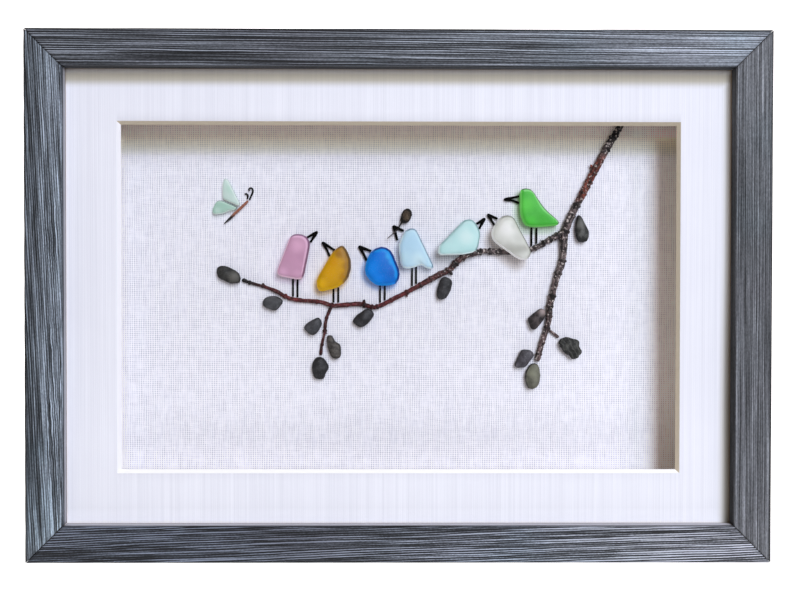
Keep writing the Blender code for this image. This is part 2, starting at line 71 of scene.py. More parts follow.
# the camera: where it stands (mm), how it is turned (degrees), its focal length
# in pixels of a picture 794 wide and 593 high
CAM_AT = Vector((-2.424, -316.187, 119.023))
CAM_TURN = (-0.5396, -0.0654, -0.2832)
CAM_FOCAL, PIC_W, PIC_H = 689.476, 794.0, 593.0
_rx, _ry, _rz = (math.radians(a) for a in CAM_TURN)
CAM_R = Matrix.Rotation(_rz, 3, "Z") @ Matrix.Rotation(_ry, 3, "Y") @ Matrix.Rotation(_rx, 3, "X")


def seen(u, v, y):
    """The point (x, z) in mm that is seen at u, v on the plane y."""
    d = CAM_R @ Vector(((u - PIC_W / 2) / CAM_FOCAL, 1.0, (PIC_H / 2 - v) / CAM_FOCAL))
    p = CAM_AT + d * ((y - CAM_AT.y) / d.y)
    return p.x, p.z


# ------------------------------------------------------------------------- noise
def _hash(ix, iy, iz, seed):
    m = np.uint64(0xFFFFFFFF)
    h = (ix.astype(np.int64).astype(np.uint64) * np.uint64(374761393)
         + iy.astype(np.int64).astype(np.uint64) * np.uint64(668265263)
         + iz.astype(np.int64).astype(np.uint64) * np.uint64(2147483647)
         + np.uint64(seed * 974634777 + 12345)) & m
    h = ((h ^ (h >> np.uint64(13))) * np.uint64(1274126177)) & m
    h = ((h ^ (h >> np.uint64(15))) * np.uint64(2246822519)) & m
    h = h ^ (h >> np.uint64(16))
    return (h & m).astype(np.float64) / 4294967295.0


def noise2(x, y, seed):
    """Smooth value noise from 0 to 1."""
    x, y = np.broadcast_arrays(np.asarray(x, float), np.asarray(y, float))
    ix, iy = np.floor(x), np.floor(y)
    fx, fy = x - ix, y - iy
    fx, fy = fx * fx * (3 - 2 * fx), fy * fy * (3 - 2 * fy)
    z = np.zeros_like(ix)
    a = _hash(ix, iy, z, seed)
    b = _hash(ix + 1, iy, z, seed)
    c = _hash(ix, iy + 1, z, seed)
    d = _hash(ix + 1, iy + 1, z, seed)
    return (a * (1 - fx) + b * fx) * (1 - fy) + (c * (1 - fx) + d * fx) * fy


def fbm2(x, y, seed, octaves=3):
    total, amp, out = 0.0, 1.0, 0.0
    for k in range(octaves):
        out = out + amp * noise2(x * 2 ** k, y * 2 ** k, seed + 31 * k)
        total += amp
        amp *= 0.5
    return out / total


def noise3(p, scale, seed):
    """Smooth value noise of points (n, 3), from 0 to 1."""
    q = p / scale
    i = np.floor(q)
    f = q - i
    f = f * f * (3 - 2 * f)
    out = 0.0
    for dx in (0, 1):
        for dy in (0, 1):
            for dz in (0, 1):
                w = (f[:, 0] if dx else 1 - f[:, 0]) * (f[:, 1] if dy else 1 - f[:, 1]) * (f[:, 2] if dz else 1 - f[:, 2])
                out = out + w * _hash(i[:, 0] + dx, i[:, 1] + dy, i[:, 2] + dz, seed)
    return out


def smoothstep(a, b, x):
    t = np.clip((x - a) / (b - a), 0.0, 1.0)
    return t * t * (3 - 2 * t)


# ------------------------------------------------------------------ node materials
def lin(rgb):
    """An sRGB colour of 0 to 255 as linear RGBA."""
    out = []
    for c in rgb:
        c = c / 255.0
        out.append(c / 12.92 if c <= 0.04045 else ((c + 0.055) / 1.055) ** 2.4)
    return tuple(out) + (1.0,)


class Mat:
    """A short way to write a node tree around one Principled shader."""

    def __init__(self, name, roughness=0.5, metallic=0.0, specular=0.5, **sockets):
        self.mat = bpy.data.materials.new(name)
        self.mat.use_nodes = True
        self.nt = self.mat.node_tree
        self.bsdf = self.nt.nodes["Principled BSDF"]
        self.set("Roughness", roughness)
        self.set("Metallic", metallic)
        self.set("Specular IOR Level", specular)
        for k, v in sockets.items():
            self.set(k.replace("_", " "), v)
        self.coords = self.nt.nodes.new("ShaderNodeTexCoord")
        self.obj = self.coords.outputs["Object"]

    def set(self, socket, value):
        if isinstance(value, bpy.types.NodeSocket):
            self.nt.links.new(value, self.bsdf.inputs[socket])
        else:
            self.bsdf.inputs[socket].default_value = value

    def _in(self, node, key, value):
        s = node.inputs[key]
        if isinstance(value, bpy.types.NodeSocket):
            self.nt.links.new(value, s)
        else:
            s.default_value = value

    def mapping(self, scale=(1, 1, 1), rotation=(0, 0, 0), location=(0, 0, 0), vector=None):
        n = self.nt.nodes.new("ShaderNodeMapping")
        n.inputs["Scale"].default_value = scale
        n.inputs["Rotation"].default_value = rotation
        n.inputs["Location"].default_value = location
        self.nt.links.new(vector or self.obj, n.inputs["Vector"])
        return n.outputs["Vector"]

    def attribute(self, name, kind="Fac"):
        n = self.nt.nodes.new("ShaderNodeAttribute")
        n.attribute_type = "GEOMETRY"
        n.attribute_name = name
        return n.outputs[kind]

    def noise(self, scale, detail=3.0, rough=0.55, vector=None, distortion=0.0):
        n = self.nt.nodes.new("ShaderNodeTexNoise")
        self._in(n, "Vector", vector or self.obj)
        self._in(n, "Scale", scale)
        self._in(n, "Detail", detail)
        self._in(n, "Roughness", rough)
        self._in(n, "Distortion", distortion)
        return n.outputs["Fac"]

    def voronoi(self, scale, vector=None, feature="F1", randomness=1.0):
        n = self.nt.nodes.new("ShaderNodeTexVoronoi")
        n.feature = feature
        self._in(n, "Vector", vector or self.obj)
        self._in(n, "Scale", scale)
        self._in(n, "Randomness", randomness)
        return n.outputs["Distance"]

    def wave(self, scale, vector=None, direction="X", distortion=0.0, detail=1.0, detail_scale=1.0):
        n = self.nt.nodes.new("ShaderNodeTexWave")
        n.wave_type = "BANDS"
        n.bands_direction = direction
        self._in(n, "Vector", vector or self.obj)
        self._in(n, "Scale", scale)
        self._in(n, "Distortion", distortion)
        self._in(n, "Detail", detail)
        self._in(n, "Detail Scale", detail_scale)
        return n.outputs["Fac"]

    def ramp(self, fac, stops, interpolation="LINEAR"):
        n = self.nt.nodes.new("ShaderNodeValToRGB")
        cr = n.color_ramp
        cr.interpolation = interpolation
        while len(cr.elements) < len(stops):
            cr.elements.new(0.5)
        for e, (pos, col) in zip(cr.elements, stops):
            e.position = pos
            e.color = col if len(col) == 4 else lin(col)
        self._in(n, "Fac", fac)
        return n.outputs["Color"]

    def span(self, value, a, b, to_a=0.0, to_b=1.0, smooth=True):
        n = self.nt.nodes.new("ShaderNodeMapRange")
        n.interpolation_type = "SMOOTHSTEP" if smooth else "LINEAR"
        n.clamp = True
        self._in(n, "Value", value)
        n.inputs["From Min"].default_value = a
        n.inputs["From Max"].default_value = b
        n.inputs["To Min"].default_value = to_a
        n.inputs["To Max"].default_value = to_b
        return n.outputs["Result"]

    def math(self, op, a, b=0.0, clamp=False):
        n = self.nt.nodes.new("ShaderNodeMath")
        n.operation = op
        n.use_clamp = clamp
        self._in(n, 0, a)
        self._in(n, 1, b)
        return n.outputs["Value"]

    def mix(self, fac, a, b, blend="MIX"):
        n = self.nt.nodes.new("ShaderNodeMix")
        n.data_type = "RGBA"
        n.blend_type = blend
        n.clamp_factor = True
        ins = {s.identifier: s for s in n.inputs}
        for key, value in (("Factor_Float", fac), ("A_Color", a), ("B_Color", b)):
            s = ins[key]
            if isinstance(value, bpy.types.NodeSocket):
                self.nt.links.new(value, s)
            else:
                s.default_value = value if key == "Factor_Float" or len(value) == 4 else lin(value)
        return next(s for s in n.outputs if s.identifier == "Result_Color")

    def dot(self, vector, direction):
        n = self.nt.nodes.new("ShaderNodeVectorMath")
        n.operation = "DOT_PRODUCT"
        self._in(n, 0, vector)
        n.inputs[1].default_value = Vector(direction).normalized() if Vector(direction).length < 0.9999 or Vector(direction).length > 1.0001 else direction
        return n.outputs["Value"]

    def axis(self, direction, origin=(0, 0, 0), length=1.0):
        """Distance along a direction from an origin, in lengths."""
        sub = self.nt.nodes.new("ShaderNodeVectorMath")
        sub.operation = "SUBTRACT"
        self._in(sub, 0, self.obj)
        sub.inputs[1].default_value = origin
        n = self.nt.nodes.new("ShaderNodeVectorMath")
        n.operation = "DOT_PRODUCT"
        self.nt.links.new(sub.outputs["Vector"], n.inputs[0])
        n.inputs[1].default_value = Vector(direction).normalized() / length
        return n.outputs["Value"]

    def bump(self, height, strength=0.3, distance=0.0003, normal=None):
        n = self.nt.nodes.new("ShaderNodeBump")
        self._in(n, "Height", height)
        n.inputs["Strength"].default_value = strength
        n.inputs["Distance"].default_value = distance
        if normal is not None:
            self.nt.links.new(normal, n.inputs["Normal"])
        self.nt.links.new(n.outputs["Normal"], self.bsdf.inputs["Normal"])
        return n.outputs["Normal"]


# --------------------------------------------------------------------- mesh helpers
def outward(mesh):
    """Faces turned outwards, and caps with many corners cut into triangles."""
    bm = bmesh.new()
    bm.from_mesh(mesh)
    bmesh.ops.recalc_face_normals(bm, faces=bm.faces)
    if bm.calc_volume(signed=True) < 0:
        bmesh.ops.reverse_faces(bm, faces=bm.faces)
    big = [f for f in bm.faces if len(f.verts) > 4]
    if big:
        bmesh.ops.triangulate(bm, faces=big)
    bm.to_mesh(mesh)
    bm.free()


def new_piece(name, mesh, material, node, smooth=True, replaces=True):
    obj = bpy.data.objects.new(name, mesh)
    bpy.context.scene.collection.objects.link(obj)
    mesh.materials.clear()
    for m in (material if isinstance(material, (list, tuple)) else [material]):
        mesh.materials.append(m)
    if smooth:
        mesh.polygons.foreach_set("use_smooth", [True] * len(mesh.polygons))
    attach(obj, "root")
    if replaces:
        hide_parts(node)
    return obj


def mesh_from(name, points, faces, material_index=None):
    mesh = bpy.data.meshes.new(name)
    mesh.from_pydata([tuple(p) for p in np.asarray(points) * MM], [], faces)
    if material_index is not None:
        mesh.polygons.foreach_set("material_index", material_index)
    mesh.update()
    return mesh


def point_attribute(mesh, name, values):
    a = mesh.attributes.new(name, "FLOAT", "POINT")
    a.data.foreach_set("value", np.asarray(values, np.float32))


def colour_attribute(mesh, name, rgb):
    a = mesh.attributes.new(name, "FLOAT_COLOR", "POINT")
    data = np.ones((len(mesh.vertices), 4), np.float32)
    data[:, :3] = rgb
    a.data.foreach_set("color", data.ravel())


def read_points(mesh):
    co = np.empty(len(mesh.vertices) * 3)
    mesh.vertices.foreach_get("co", co)
    no = np.empty(len(mesh.vertices) * 3)
    mesh.vertices.foreach_get("normal", no)
    return co.reshape(-1, 3) / MM, no.reshape(-1, 3)


def write_points(mesh, points):
    mesh.vertices.foreach_set("co", (points * MM).ravel())
    mesh.update()


def refined(node, voxel, smooth, factor=0.5):
    """The CAD node's own form as an even, fine mesh with softened edges."""
    src = NODES[node].data.copy()
    tmp = bpy.data.objects.new("tmp_" + node, src)
    bpy.context.scene.collection.objects.link(tmp)
    m = tmp.modifiers.new("v", "REMESH")
    m.mode = "VOXEL"
    m.voxel_size = voxel * MM
    if smooth:
        s = tmp.modifiers.new("s", "SMOOTH")
        s.factor = factor
        s.iterations = smooth
    dg = bpy.context.evaluated_depsgraph_get()
    out = bpy.data.meshes.new_from_object(tmp.evaluated_get(dg), depsgraph=dg)
    bpy.data.objects.remove(tmp)
    bpy.data.meshes.remove(src)
    out.name = node + "_fine"
    for name in [a.name for a in out.attributes if a.name.startswith("UV") or a.name.startswith("uv")]:
        out.attributes.remove(out.attributes[name])
    return out


# ==================================================================== frame rails
# bite: how strong the grain shows; slope: how far it runs out of true; run, line, dash:
# lengths (mm) of grooves, fine lines and short strokes; fibre, speck: finest marks
RAILS = {
    "top": dict(seed=17, bite=1.5, contrast=1.0, wander=0.35, slope=-0.010, run=90.0, line=34.0, dash=16.0, dashes=0.22, fibre=15, speck=0.42, smooth_from=10.2, figure=0.12, cool=(0.97, 1.07, 1.24)),
    "bottom": dict(seed=29, bite=2.1, contrast=0.95, wander=0.6, slope=-0.036, run=55.0, line=26.0, dash=13.0, dashes=0.35, fibre=20, speck=0.42, smooth_from=40.0, figure=0.0, cool=(0.97, 1.07, 1.31)),
    "left": dict(seed=41, bite=1.2, contrast=0.85, wander=0.5, slope=0.055, run=30.0, line=16.0, dash=8.0, dashes=0.45, fibre=32, speck=0.55, smooth_from=40.0, figure=0.30, cool=(0.93, 1.10, 1.30)),
    "right": dict(seed=53, bite=0.8, contrast=0.50, wander=0.5, slope=0.0, run=80.0, line=30.0, dash=6.0, dashes=0.55, fibre=28, speck=0.70, smooth_from=40.0, figure=0.0, cool=(0.99, 1.05, 1.16)),
}
PITCH = 0.98


def grain(s, t, side):
    """Wire-brushed grain: how deep each point lies below the planed face (mm), and
    a tone from 0 in the grooves to 1 on the ridges. s runs along the rail."""
    c = RAILS[side]
    seed = c["seed"]
    tw = t + c["slope"] * s + 2 * c["wander"] * (fbm2(s / 75.0, t / 9.0, seed + 1, 2) - 0.5) + 0.26 * (noise2(s / 18.0, t / 3.0, seed + 2) - 0.5)
    tw = tw + 0.07 * (noise2(s / 4.5, t / 1.2, seed + 3) - 0.5)
    # a cathedral figure: nested points where the board was cut across its rings
    zone = smoothstep(8.6, 10.6, t) * smoothstep(15.4, 13.6, t) * c["figure"]
    saw = np.abs(2 * np.mod(s / 9.0 + 0.9 * noise2(s / 20.0, t * 0, seed + 4), 1.0) - 1) - 0.5
    tw = tw + zone * 1.3 * saw * smoothstep(0.40, 0.60, noise2(s / 30.0, t / 6.0, seed + 5))
    ph = tw / PITCH
    g = 0.5 - 0.5 * np.cos(2 * math.pi * ph)
    k = 0.42 + 0.58 * smoothstep(0.25, 0.62, noise2(s / (1.2 * c["run"]), ph, seed + 6))
    k = k * c["contrast"] * (1 - 0.72 * smoothstep(c["smooth_from"], c["smooth_from"] + 1.6, t))
    groove = k * (1 - g) ** 2.2
    ridge = k * g ** 3
    fine = noise2(s / (2.0 * c["line"]), tw / 0.62, seed + 7)
    hair = noise2(s / (1.5 * c["line"]), tw / 0.47, seed + 10)
    dash = noise2(s / c["dash"], tw / 0.50, seed + 8)
    slow = fbm2(s / 70.0, t / 5.0, seed + 9, 2)
    tone = 0.52 - 0.66 * groove + 0.26 * ridge + 0.34 * (fine - 0.5) + 0.62 * (hair - 0.5) + 0.30 * c["dashes"] * (dash - 0.5) + 0.05 * (slow - 0.5)
    tone = tone - 0.07 * smoothstep(c["smooth_from"], c["smooth_from"] + 1.6, t)
    if side == "top":
        tone = 0.5 + (tone - 0.5) * (1 - 0.62 * smoothstep(10.0, 120.0, s))
    depth = 0.03 + 0.24 * groove + 0.06 * (1 - fine) + 0.04 * c["dashes"] * (1 - dash)
    return np.clip(depth, 0.0, 0.5), np.clip(tone, 0.0, 1.0)


def rail_mesh(side, step_along):
    c = 0.4                # the arris, and how far the face stands proud of it
    e = 0.3
    stations = []          # u, y, inward normal (nu, ny), how much of the grain shows, t, lit wall

    def run(u0, y0, u1, y1, step, normal, weight, t0, t1, wall=0.0):
        length = math.hypot(u1 - u0, y1 - y0)
        n = max(1, int(math.ceil(length / step)))
        for k in range(n):
            f = k / n
            w = weight(f) if callable(weight) else weight
            stations.append((u0 + (u1 - u0) * f, y0 + (y1 - y0) * f, normal[0], normal[1], w, t0 + (t1 - t0) * f, wall))

    d = math.sqrt(0.5)
    run(-e, BACK - 0.4, -e, FRONT + c, 0.36, (1, 0), lambda f: 0.3 + 0.5 * f, -(BACK - FRONT), -c)
    run(-e, FRONT + c, -e + c, FRONT, 0.2, (d, d), 0.5, -c, 0.1)
    run(-e + c, FRONT, RAIL_FACE - c, FRONT, 0.235, (0, 1), 1.0, -e + c, RAIL_FACE - c)
    run(RAIL_FACE - c, FRONT, RAIL_FACE, FRONT + c, 0.2, (-d, d), 0.5, RAIL_FACE - c, RAIL_FACE)
    run(RAIL_FACE, FRONT + c, RAIL_FACE, FRONT + LIP, 0.36, (-1, 0), lambda f: 0.4 - 0.4 * f, RAIL_FACE + 0.3, RAIL_FACE + LIP, 1.0)
    run(RAIL_FACE, FRONT + LIP, RAIL_WALL, FRONT + LIP, 1.4, (0, 0), 0.0, RAIL_FACE + LIP, RAIL_FACE + LIP + 4)
    run(RAIL_WALL, FRONT + LIP, RAIL_WALL, BACK - 0.2, 3.5, (0, 0), 0.0, 30, 58)
    run(RAIL_WALL, BACK - 0.2, RAIL_WALL - 0.2, BACK, 0.3, (0, 0), 0.0, 58, 58.3)
    run(RAIL_WALL - 0.2, BACK, -e + 0.4, BACK, 0.6, (0, -1), lambda f: 0.35 * math.sin(math.pi * f), 58.3, 70)
    run(-e + 0.4, BACK, -e, BACK - 0.4, 0.6, (0, 0), 0.0, 70, 70.5)
    st = np.array(stations)
    u, y, nu, ny, w, t, wall = st.T
    n_st = len(st)
    half = (OUT_W if side in ("top", "bottom") else OUT_H) / 2
    count = int(round(2 * half / step_along))
    f = np.linspace(-1, 1, count + 1)[:, None]
    trim = 0.15 * math.sqrt(2)
    s0 = f * (half - u[None, :] - trim)
    t0 = np.broadcast_to(t[None, :], s0.shape)
    depth, tone = grain(s0, t0, side)
    depth = depth * w[None, :]
    uu = u[None, :] + nu[None, :] * depth
    yy = y[None, :] + ny[None, :] * depth
    ss = f * (half - uu - trim)
    if side == "top":
        P = np.stack([ss, yy, OUT_H - uu], -1)
    elif side == "bottom":
        P = np.stack([ss, yy, uu], -1)
    elif side == "left":
        P = np.stack([-OUT_W / 2 + uu, yy, MID_Z + ss], -1)
    else:
        P = np.stack([OUT_W / 2 - uu, yy, MID_Z + ss], -1)
    rows = count + 1
    idx = np.arange(rows * n_st).reshape(rows, n_st)
    a = idx[:-1, :]
    b = np.roll(idx, -1, axis=1)[:-1, :]
    c2 = np.roll(idx, -1, axis=1)[1:, :]
    d2 = idx[1:, :]
    quads = np.stack([a, b, c2, d2], -1).reshape(-1, 4)
    faces = quads.tolist()
    faces.append(idx[0].tolist()[::-1])
    faces.append(idx[-1].tolist())
    mesh = mesh_from("frame_rail_%s_fine" % side, P.reshape(-1, 3), faces)
    outward(mesh)
    # how light the rail is, partly the stain and partly a painted sheen of the light: it fades along the level rails
    # and across the left one, and rises up the right one
    if side == "top":
        stain_and_sheen = np.interp(s0, (-162, -60, 0, 60, 120, 162), (0.84, 0.84, 0.98, 1.30, 1.70, 1.95)) + 0.03 * np.sin(s0 / 23.0)
    elif side == "bottom":
        stain_and_sheen = 0.45 + 0.90 * np.clip((s0 + 50.0) / 200.0, 0, 1) + 0.04 * np.sin(s0 / 23.0)
    elif side == "left":
        stain_and_sheen = 0.76 + 0.80 * smoothstep(0.0, 15.0, t0)
    else:
        stain_and_sheen = 0.90 + 0.30 * smoothstep(20.0, 115.0, s0)
    f_wall = np.where((wall > 0) & (t < RAIL_FACE + LIP + 0.01), (t - RAIL_FACE) / LIP, -1.0)
    if side in ("left", "bottom"):
        # the lit lips: stained near the face, with a pale band of painted light where they meet the mat, and painted
        # shade at the very foot by the mat
        edge = 0.46 if side == "left" else 0.28
        painted_lit_band = smoothstep(edge, edge + 0.10, f_wall)
        rim = np.maximum(smoothstep(0.75, 0.25, np.abs(t)), 0.95 * np.exp(-((f_wall - edge + 0.05) / 0.10) ** 2))
        shade = np.where(f_wall > 0.9, 0.62, 1.0)
    else:
        # the top and right lips, turned from the light: painted shade over the wall
        painted_lit_band = np.zeros_like(t)
        rim = smoothstep(0.75, 0.25, np.abs(t))
        shade = 1.0 - 0.58 * smoothstep(0.0, 0.15, f_wall)
    point_attribute(mesh, "tone", tone.ravel())
    point_attribute(mesh, "stain_and_sheen", (stain_and_sheen * shade[None, :]).ravel())
    point_attribute(mesh, "shade", np.broadcast_to(shade[None, :], s0.shape).ravel())
    point_attribute(mesh, "rim", np.broadcast_to(rim[None, :], s0.shape).ravel())
    point_attribute(mesh, "wall", np.broadcast_to(painted_lit_band[None, :], s0.shape).ravel())
    point_attribute(mesh, "raw", np.broadcast_to(((t > RAIL_FACE + LIP - 0.1) * 1.0)[None, :], s0.shape).ravel())
    return mesh


def wood_material(side, seed):
    m = Mat("brushed_wood_" + side, roughness=0.58, specular=0.3)
    along_x = side in ("top", "bottom")

    def stretched(long, across, shift):
        return m.mapping(scale=(long, across, across) if along_x else (across, across, long), location=(shift, shift * 0.37, shift * 0.71))

    fibre = m.noise(1.0, 3.0, 0.6, stretched(RAILS[side]["fibre"], 2600, seed))
    streak = m.noise(1.0, 2.0, 0.5, stretched(16, 520, seed + 2))
    speck = m.noise(1.0, 2.0, 0.6, stretched(900, 2100, seed + 5))
    v = m.attribute("tone")
    v = m.math("ADD", v, m.math("MULTIPLY", m.math("SUBTRACT", fibre, 0.5), 1.5))
    v = m.math("ADD", v, m.math("MULTIPLY", m.math("SUBTRACT", streak, 0.5), 0.08))
    v = m.math("ADD", v, m.math("MULTIPLY", m.math("SUBTRACT", speck, 0.5), RAILS[side]["speck"]))
    bite = RAILS[side]["bite"]
    v = m.math("ADD", m.math("MULTIPLY", v, bite), 0.5 * (1.0 - bite))
    r, g, b = RAILS[side]["cool"]

    def tint(value):
        return (value * r, value * g, value * b, 1.0)

    base = m.ramp(v, [(0.0, tint(0.012)), (0.22, tint(0.045)), (0.50, tint(0.115)), (0.75, tint(0.21)), (1.0, tint(0.40))])
    cloud = m.noise(21.0, 2.0, 0.5, m.mapping(location=(seed * 0.3, 0, seed)))
    base = m.mix(m.span(cloud, 0.52, 0.70, 0.0, 0.22), base, m.mix(1.0, base, (215, 250, 255), "MULTIPLY"))
    base = m.mix(m.span(cloud, 0.48, 0.32, 0.0, 0.30), base, m.mix(1.0, base, (255, 246, 250), "MULTIPLY"))
    # the stain with its painted sheen, times the painted shade of the lips
    base = m.mix(1.0, base, m.attribute("stain_and_sheen", "Color"), "MULTIPLY")
    if side == "bottom":
        where = m.axis((1, 0, 0))
        base = m.mix(m.span(where, 0.02, -0.11), base, m.mix(1.0, base, (0.98, 1.03, 1.10, 1.0), "MULTIPLY"))
        base = m.mix(m.span(where, 0.02, 0.12), base, m.mix(1.0, base, (1.0, 0.97, 0.91, 1.0), "MULTIPLY"))
    # painted light: a pale band on the lips turned to the light, darkened where the painted shade lies
    pale = m.mix(1.0, m.ramp(fibre, [(0.3, (158, 158, 165)), (0.7, (192, 192, 200))] if side != "bottom" else [(0.3, (180, 180, 188)), (0.7, (210, 210, 218))]), m.attribute("shade", "Color"), "MULTIPLY")
    base = m.mix(m.math("MULTIPLY", m.attribute("wall"), 0.92), base, pale)
    base = m.mix(m.math("MULTIPLY", m.attribute("rim"), 0.85), base, (18, 19, 22))
    base = m.mix(m.attribute("raw"), base, m.ramp(fibre, [(0.2, (150, 118, 84)), (0.8, (186, 154, 114))]))
    m.set("Base Color", base)
    m.set("Roughness", m.span(v, 0.1, 0.9, 0.72, 0.50))
    m.bump(m.math("ADD", m.math("MULTIPLY", fibre, 0.5), m.math("MULTIPLY", speck, 0.5)), 0.5, 0.00014)
    return m.mat


for _k, _side in enumerate(("top", "bottom", "left", "right")):
    new_piece("frame_rail_%s_brushed" % _side, rail_mesh(_side, 1.5), wood_material(_side, 3.1 + 1.7 * _k), "frame_rail_" + _side)


# ====================================================================== window mat
def mat_mesh():
    """The ribbed card with its bevelled opening: front and back share one grid."""
    w, h, t = WINDOW_W / 2, WINDOW_H / 2, MAT_BACK - MAT_FRONT
    cz = MID_Z - WINDOW_DROP
    sx, sz = SHEET_W / 2, SHEET_H / 2
    pitch = 0.93
    step = pitch / 4

    def line(a, b, step):
        n = max(1, int(round((b - a) / step)))
        return np.linspace(a, b, n + 1)

    xs = np.unique(np.round(np.concatenate([line(-sx, -w, step), line(-w, w, step), line(w, sx, step)]), 6))
    zs = np.unique(np.round(np.concatenate([line(MID_Z - sz, cz - h, 5.5), line(cz - h, cz + h, 16.0), line(cz + h, MID_Z + sz - 13.0, 5.0), line(MID_Z + sz - 13.0, MID_Z + sz, 1.2)]), 6))
    X, Z = np.meshgrid(xs, zs)
    amp = 0.022 + 0.03 * noise2(X / 7.0, Z / 60.0, 5)
    rib = 0.5 - 0.5 * np.cos(2 * math.pi * (X / pitch + 0.22 * noise2(X / 2.4, Z / 45.0, 6)))
    Yf = MAT_FRONT + amp * rib
    nx, nz = len(xs), len(zs)
    front = np.stack([X, Yf, Z], -1)
    back = np.stack([X, np.full_like(X, MAT_BACK), Z], -1)
    on_x = (np.abs(np.abs(X) - w) < 1e-4) & (np.abs(Z - cz) <= h + 1e-4)
    on_z = (np.abs(np.abs(Z - cz) - h) < 1e-4) & (np.abs(X) <= w + 1e-4)
    border = on_x | on_z
    # a crisp knife edge: no ribs on the very edge of the cut
    front[..., 1] = np.where(border, MAT_FRONT + 0.012, front[..., 1])
    back[..., 0] = np.where(border, X * (w - t) / w, back[..., 0])
    back[..., 2] = np.where(border, cz + (Z - cz) * (h - t) / h, back[..., 2])
    idx = np.arange(nx * nz).reshape(nz, nx)
    inside_x = (xs[:-1] >= -w - 1e-4) & (xs[1:] <= w + 1e-4)
    inside_z = (zs[:-1] >= cz - h - 1e-4) & (zs[1:] <= cz + h + 1e-4)
    hole = inside_z[:, None] & inside_x[None, :]
    faces, slots = [], []
    off = nx * nz
    keep = ~hole
    kz, kx = np.nonzero(keep)
    a, b, c, d = idx[kz, kx], idx[kz, kx + 1], idx[kz + 1, kx + 1], idx[kz + 1, kx]
    faces += np.stack([a, b, c, d], -1).tolist()
    slots += [0] * len(a)
    faces += (np.stack([a, d, c, b], -1) + off).tolist()
    slots += [1] * len(a)

    def wall(chain, slot, flip):
        for p, q in zip(chain[:-1], chain[1:]):
            f = [p, p + off, q + off, q]
            faces.append(f[::-1] if flip else f)
            slots.append(slot)

    wall(idx[0, :].tolist(), 1, False)
    wall(idx[-1, :].tolist(), 1, True)
    wall(idx[:, 0].tolist(), 1, True)
    wall(idx[:, -1].tolist(), 1, False)
    jx0, jx1 = int(np.argmin(np.abs(xs + w))), int(np.argmin(np.abs(xs - w)))
    jz0, jz1 = int(np.argmin(np.abs(zs - (cz - h)))), int(np.argmin(np.abs(zs - (cz + h))))
    wall(idx[jz0, jx0:jx1 + 1].tolist(), 1, True)
    wall(idx[jz1, jx0:jx1 + 1].tolist(), 1, False)
    wall(idx[jz0:jz1 + 1, jx0].tolist(), 1, False)
    wall(idx[jz0:jz1 + 1, jx1].tolist(), 1, True)
    points = np.concatenate([front.reshape(-1, 3), back.reshape(-1, 3)])
    lip_x, lip_z = OUT_W / 2 - RAIL_FACE, OUT_H - RAIL_FACE
    # painted shade on the card: darkened under the top lip and beside the right lip, wider and darker lower down, and
    # darker still close beside the lower part of the right lip
    below = lip_z - points[:, 2]
    beside = lip_x - points[:, 0]
    under = np.maximum(smoothstep(8.4, 4.2, below) * (0.45 + 0.55 * smoothstep(0.2, 2.2, below)),
                       smoothstep(4.6 + 1.4 * smoothstep(150, 60, points[:, 2]), 0.4, beside) * (0.75 + 0.25 * smoothstep(150, 60, points[:, 2])))
    deep = smoothstep(4.2, 0.6, beside) * smoothstep(150, 60, points[:, 2])
    used = np.zeros(len(points), bool)
    for f in faces:
        used[f] = True
    remap = np.cumsum(used) - 1
    faces = [[int(remap[i]) for i in f] for f in faces]
    mesh = mesh_from("window_mat_fine", points[used], faces, slots)
    outward(mesh)
    point_attribute(mesh, "under", under[used])
    point_attribute(mesh, "deep", deep[used])
    # painted light: the card glows close to the lower and left lips, and not where its painted shade lies
    rise = np.clip(points[:, 2] - RAIL_FACE, 0, None)
    left = np.clip(lip_x + points[:, 0], 0, None)
    back = 0.40 * np.exp(-rise / 1.3) + 0.08 * smoothstep(6.5, 2.5, rise) + 0.13 * np.exp(-left / 0.8)
    back = back * smoothstep(0.5, 6.0, beside) * smoothstep(4.0, 9.0, below)
    point_attribute(mesh, "back", back[used])
    return mesh


def card_material():
    m = Mat("ribbed_card", roughness=0.86, specular=0.2)
    soft = m.noise(45.0, 3.0, 0.5)
    ribs = m.noise(1.0, 2.0, 0.5, m.mapping(scale=(1150, 40, 9)))
    fluff = m.noise(2600.0, 2.0, 0.6)
    base = m.ramp(ribs, [(0.25, (231, 232, 240)), (0.75, (243, 244, 251))])
    base = m.mix(m.span(soft, 0.35, 0.7, 0.0, 0.16), base, (229, 230, 240))
    # painted shade under the top lip and beside the right lip
    base = m.mix(m.attribute("under"), base, m.mix(1.0, base, (200, 193, 172), "MULTIPLY"))
    # painted shade beside the lower part of the right lip
    base = m.mix(m.attribute("deep"), base, m.mix(1.0, base, (196, 196, 198), "MULTIPLY"))
    # painted shade: the card darker towards its bottom edge
    base = m.mix(m.span(m.axis((0, 0, 1)), 0.060, 0.016, 0.0, 1.0), base, m.mix(1.0, base, (243, 243, 243), "MULTIPLY"))
    m.set("Base Color", base)
    # painted light: the card glows near the lower and left lips, though it is no lamp
    m.set("Emission Color", m.mix(1.0, (222, 223, 234), m.attribute("back", "Color"), "MULTIPLY"))
    m.set("Emission Strength", 1.0)
    m.bump(m.math("ADD", fluff, m.math("MULTIPLY", ribs, 0.8)), 0.25, 0.00008)
    return m.mat


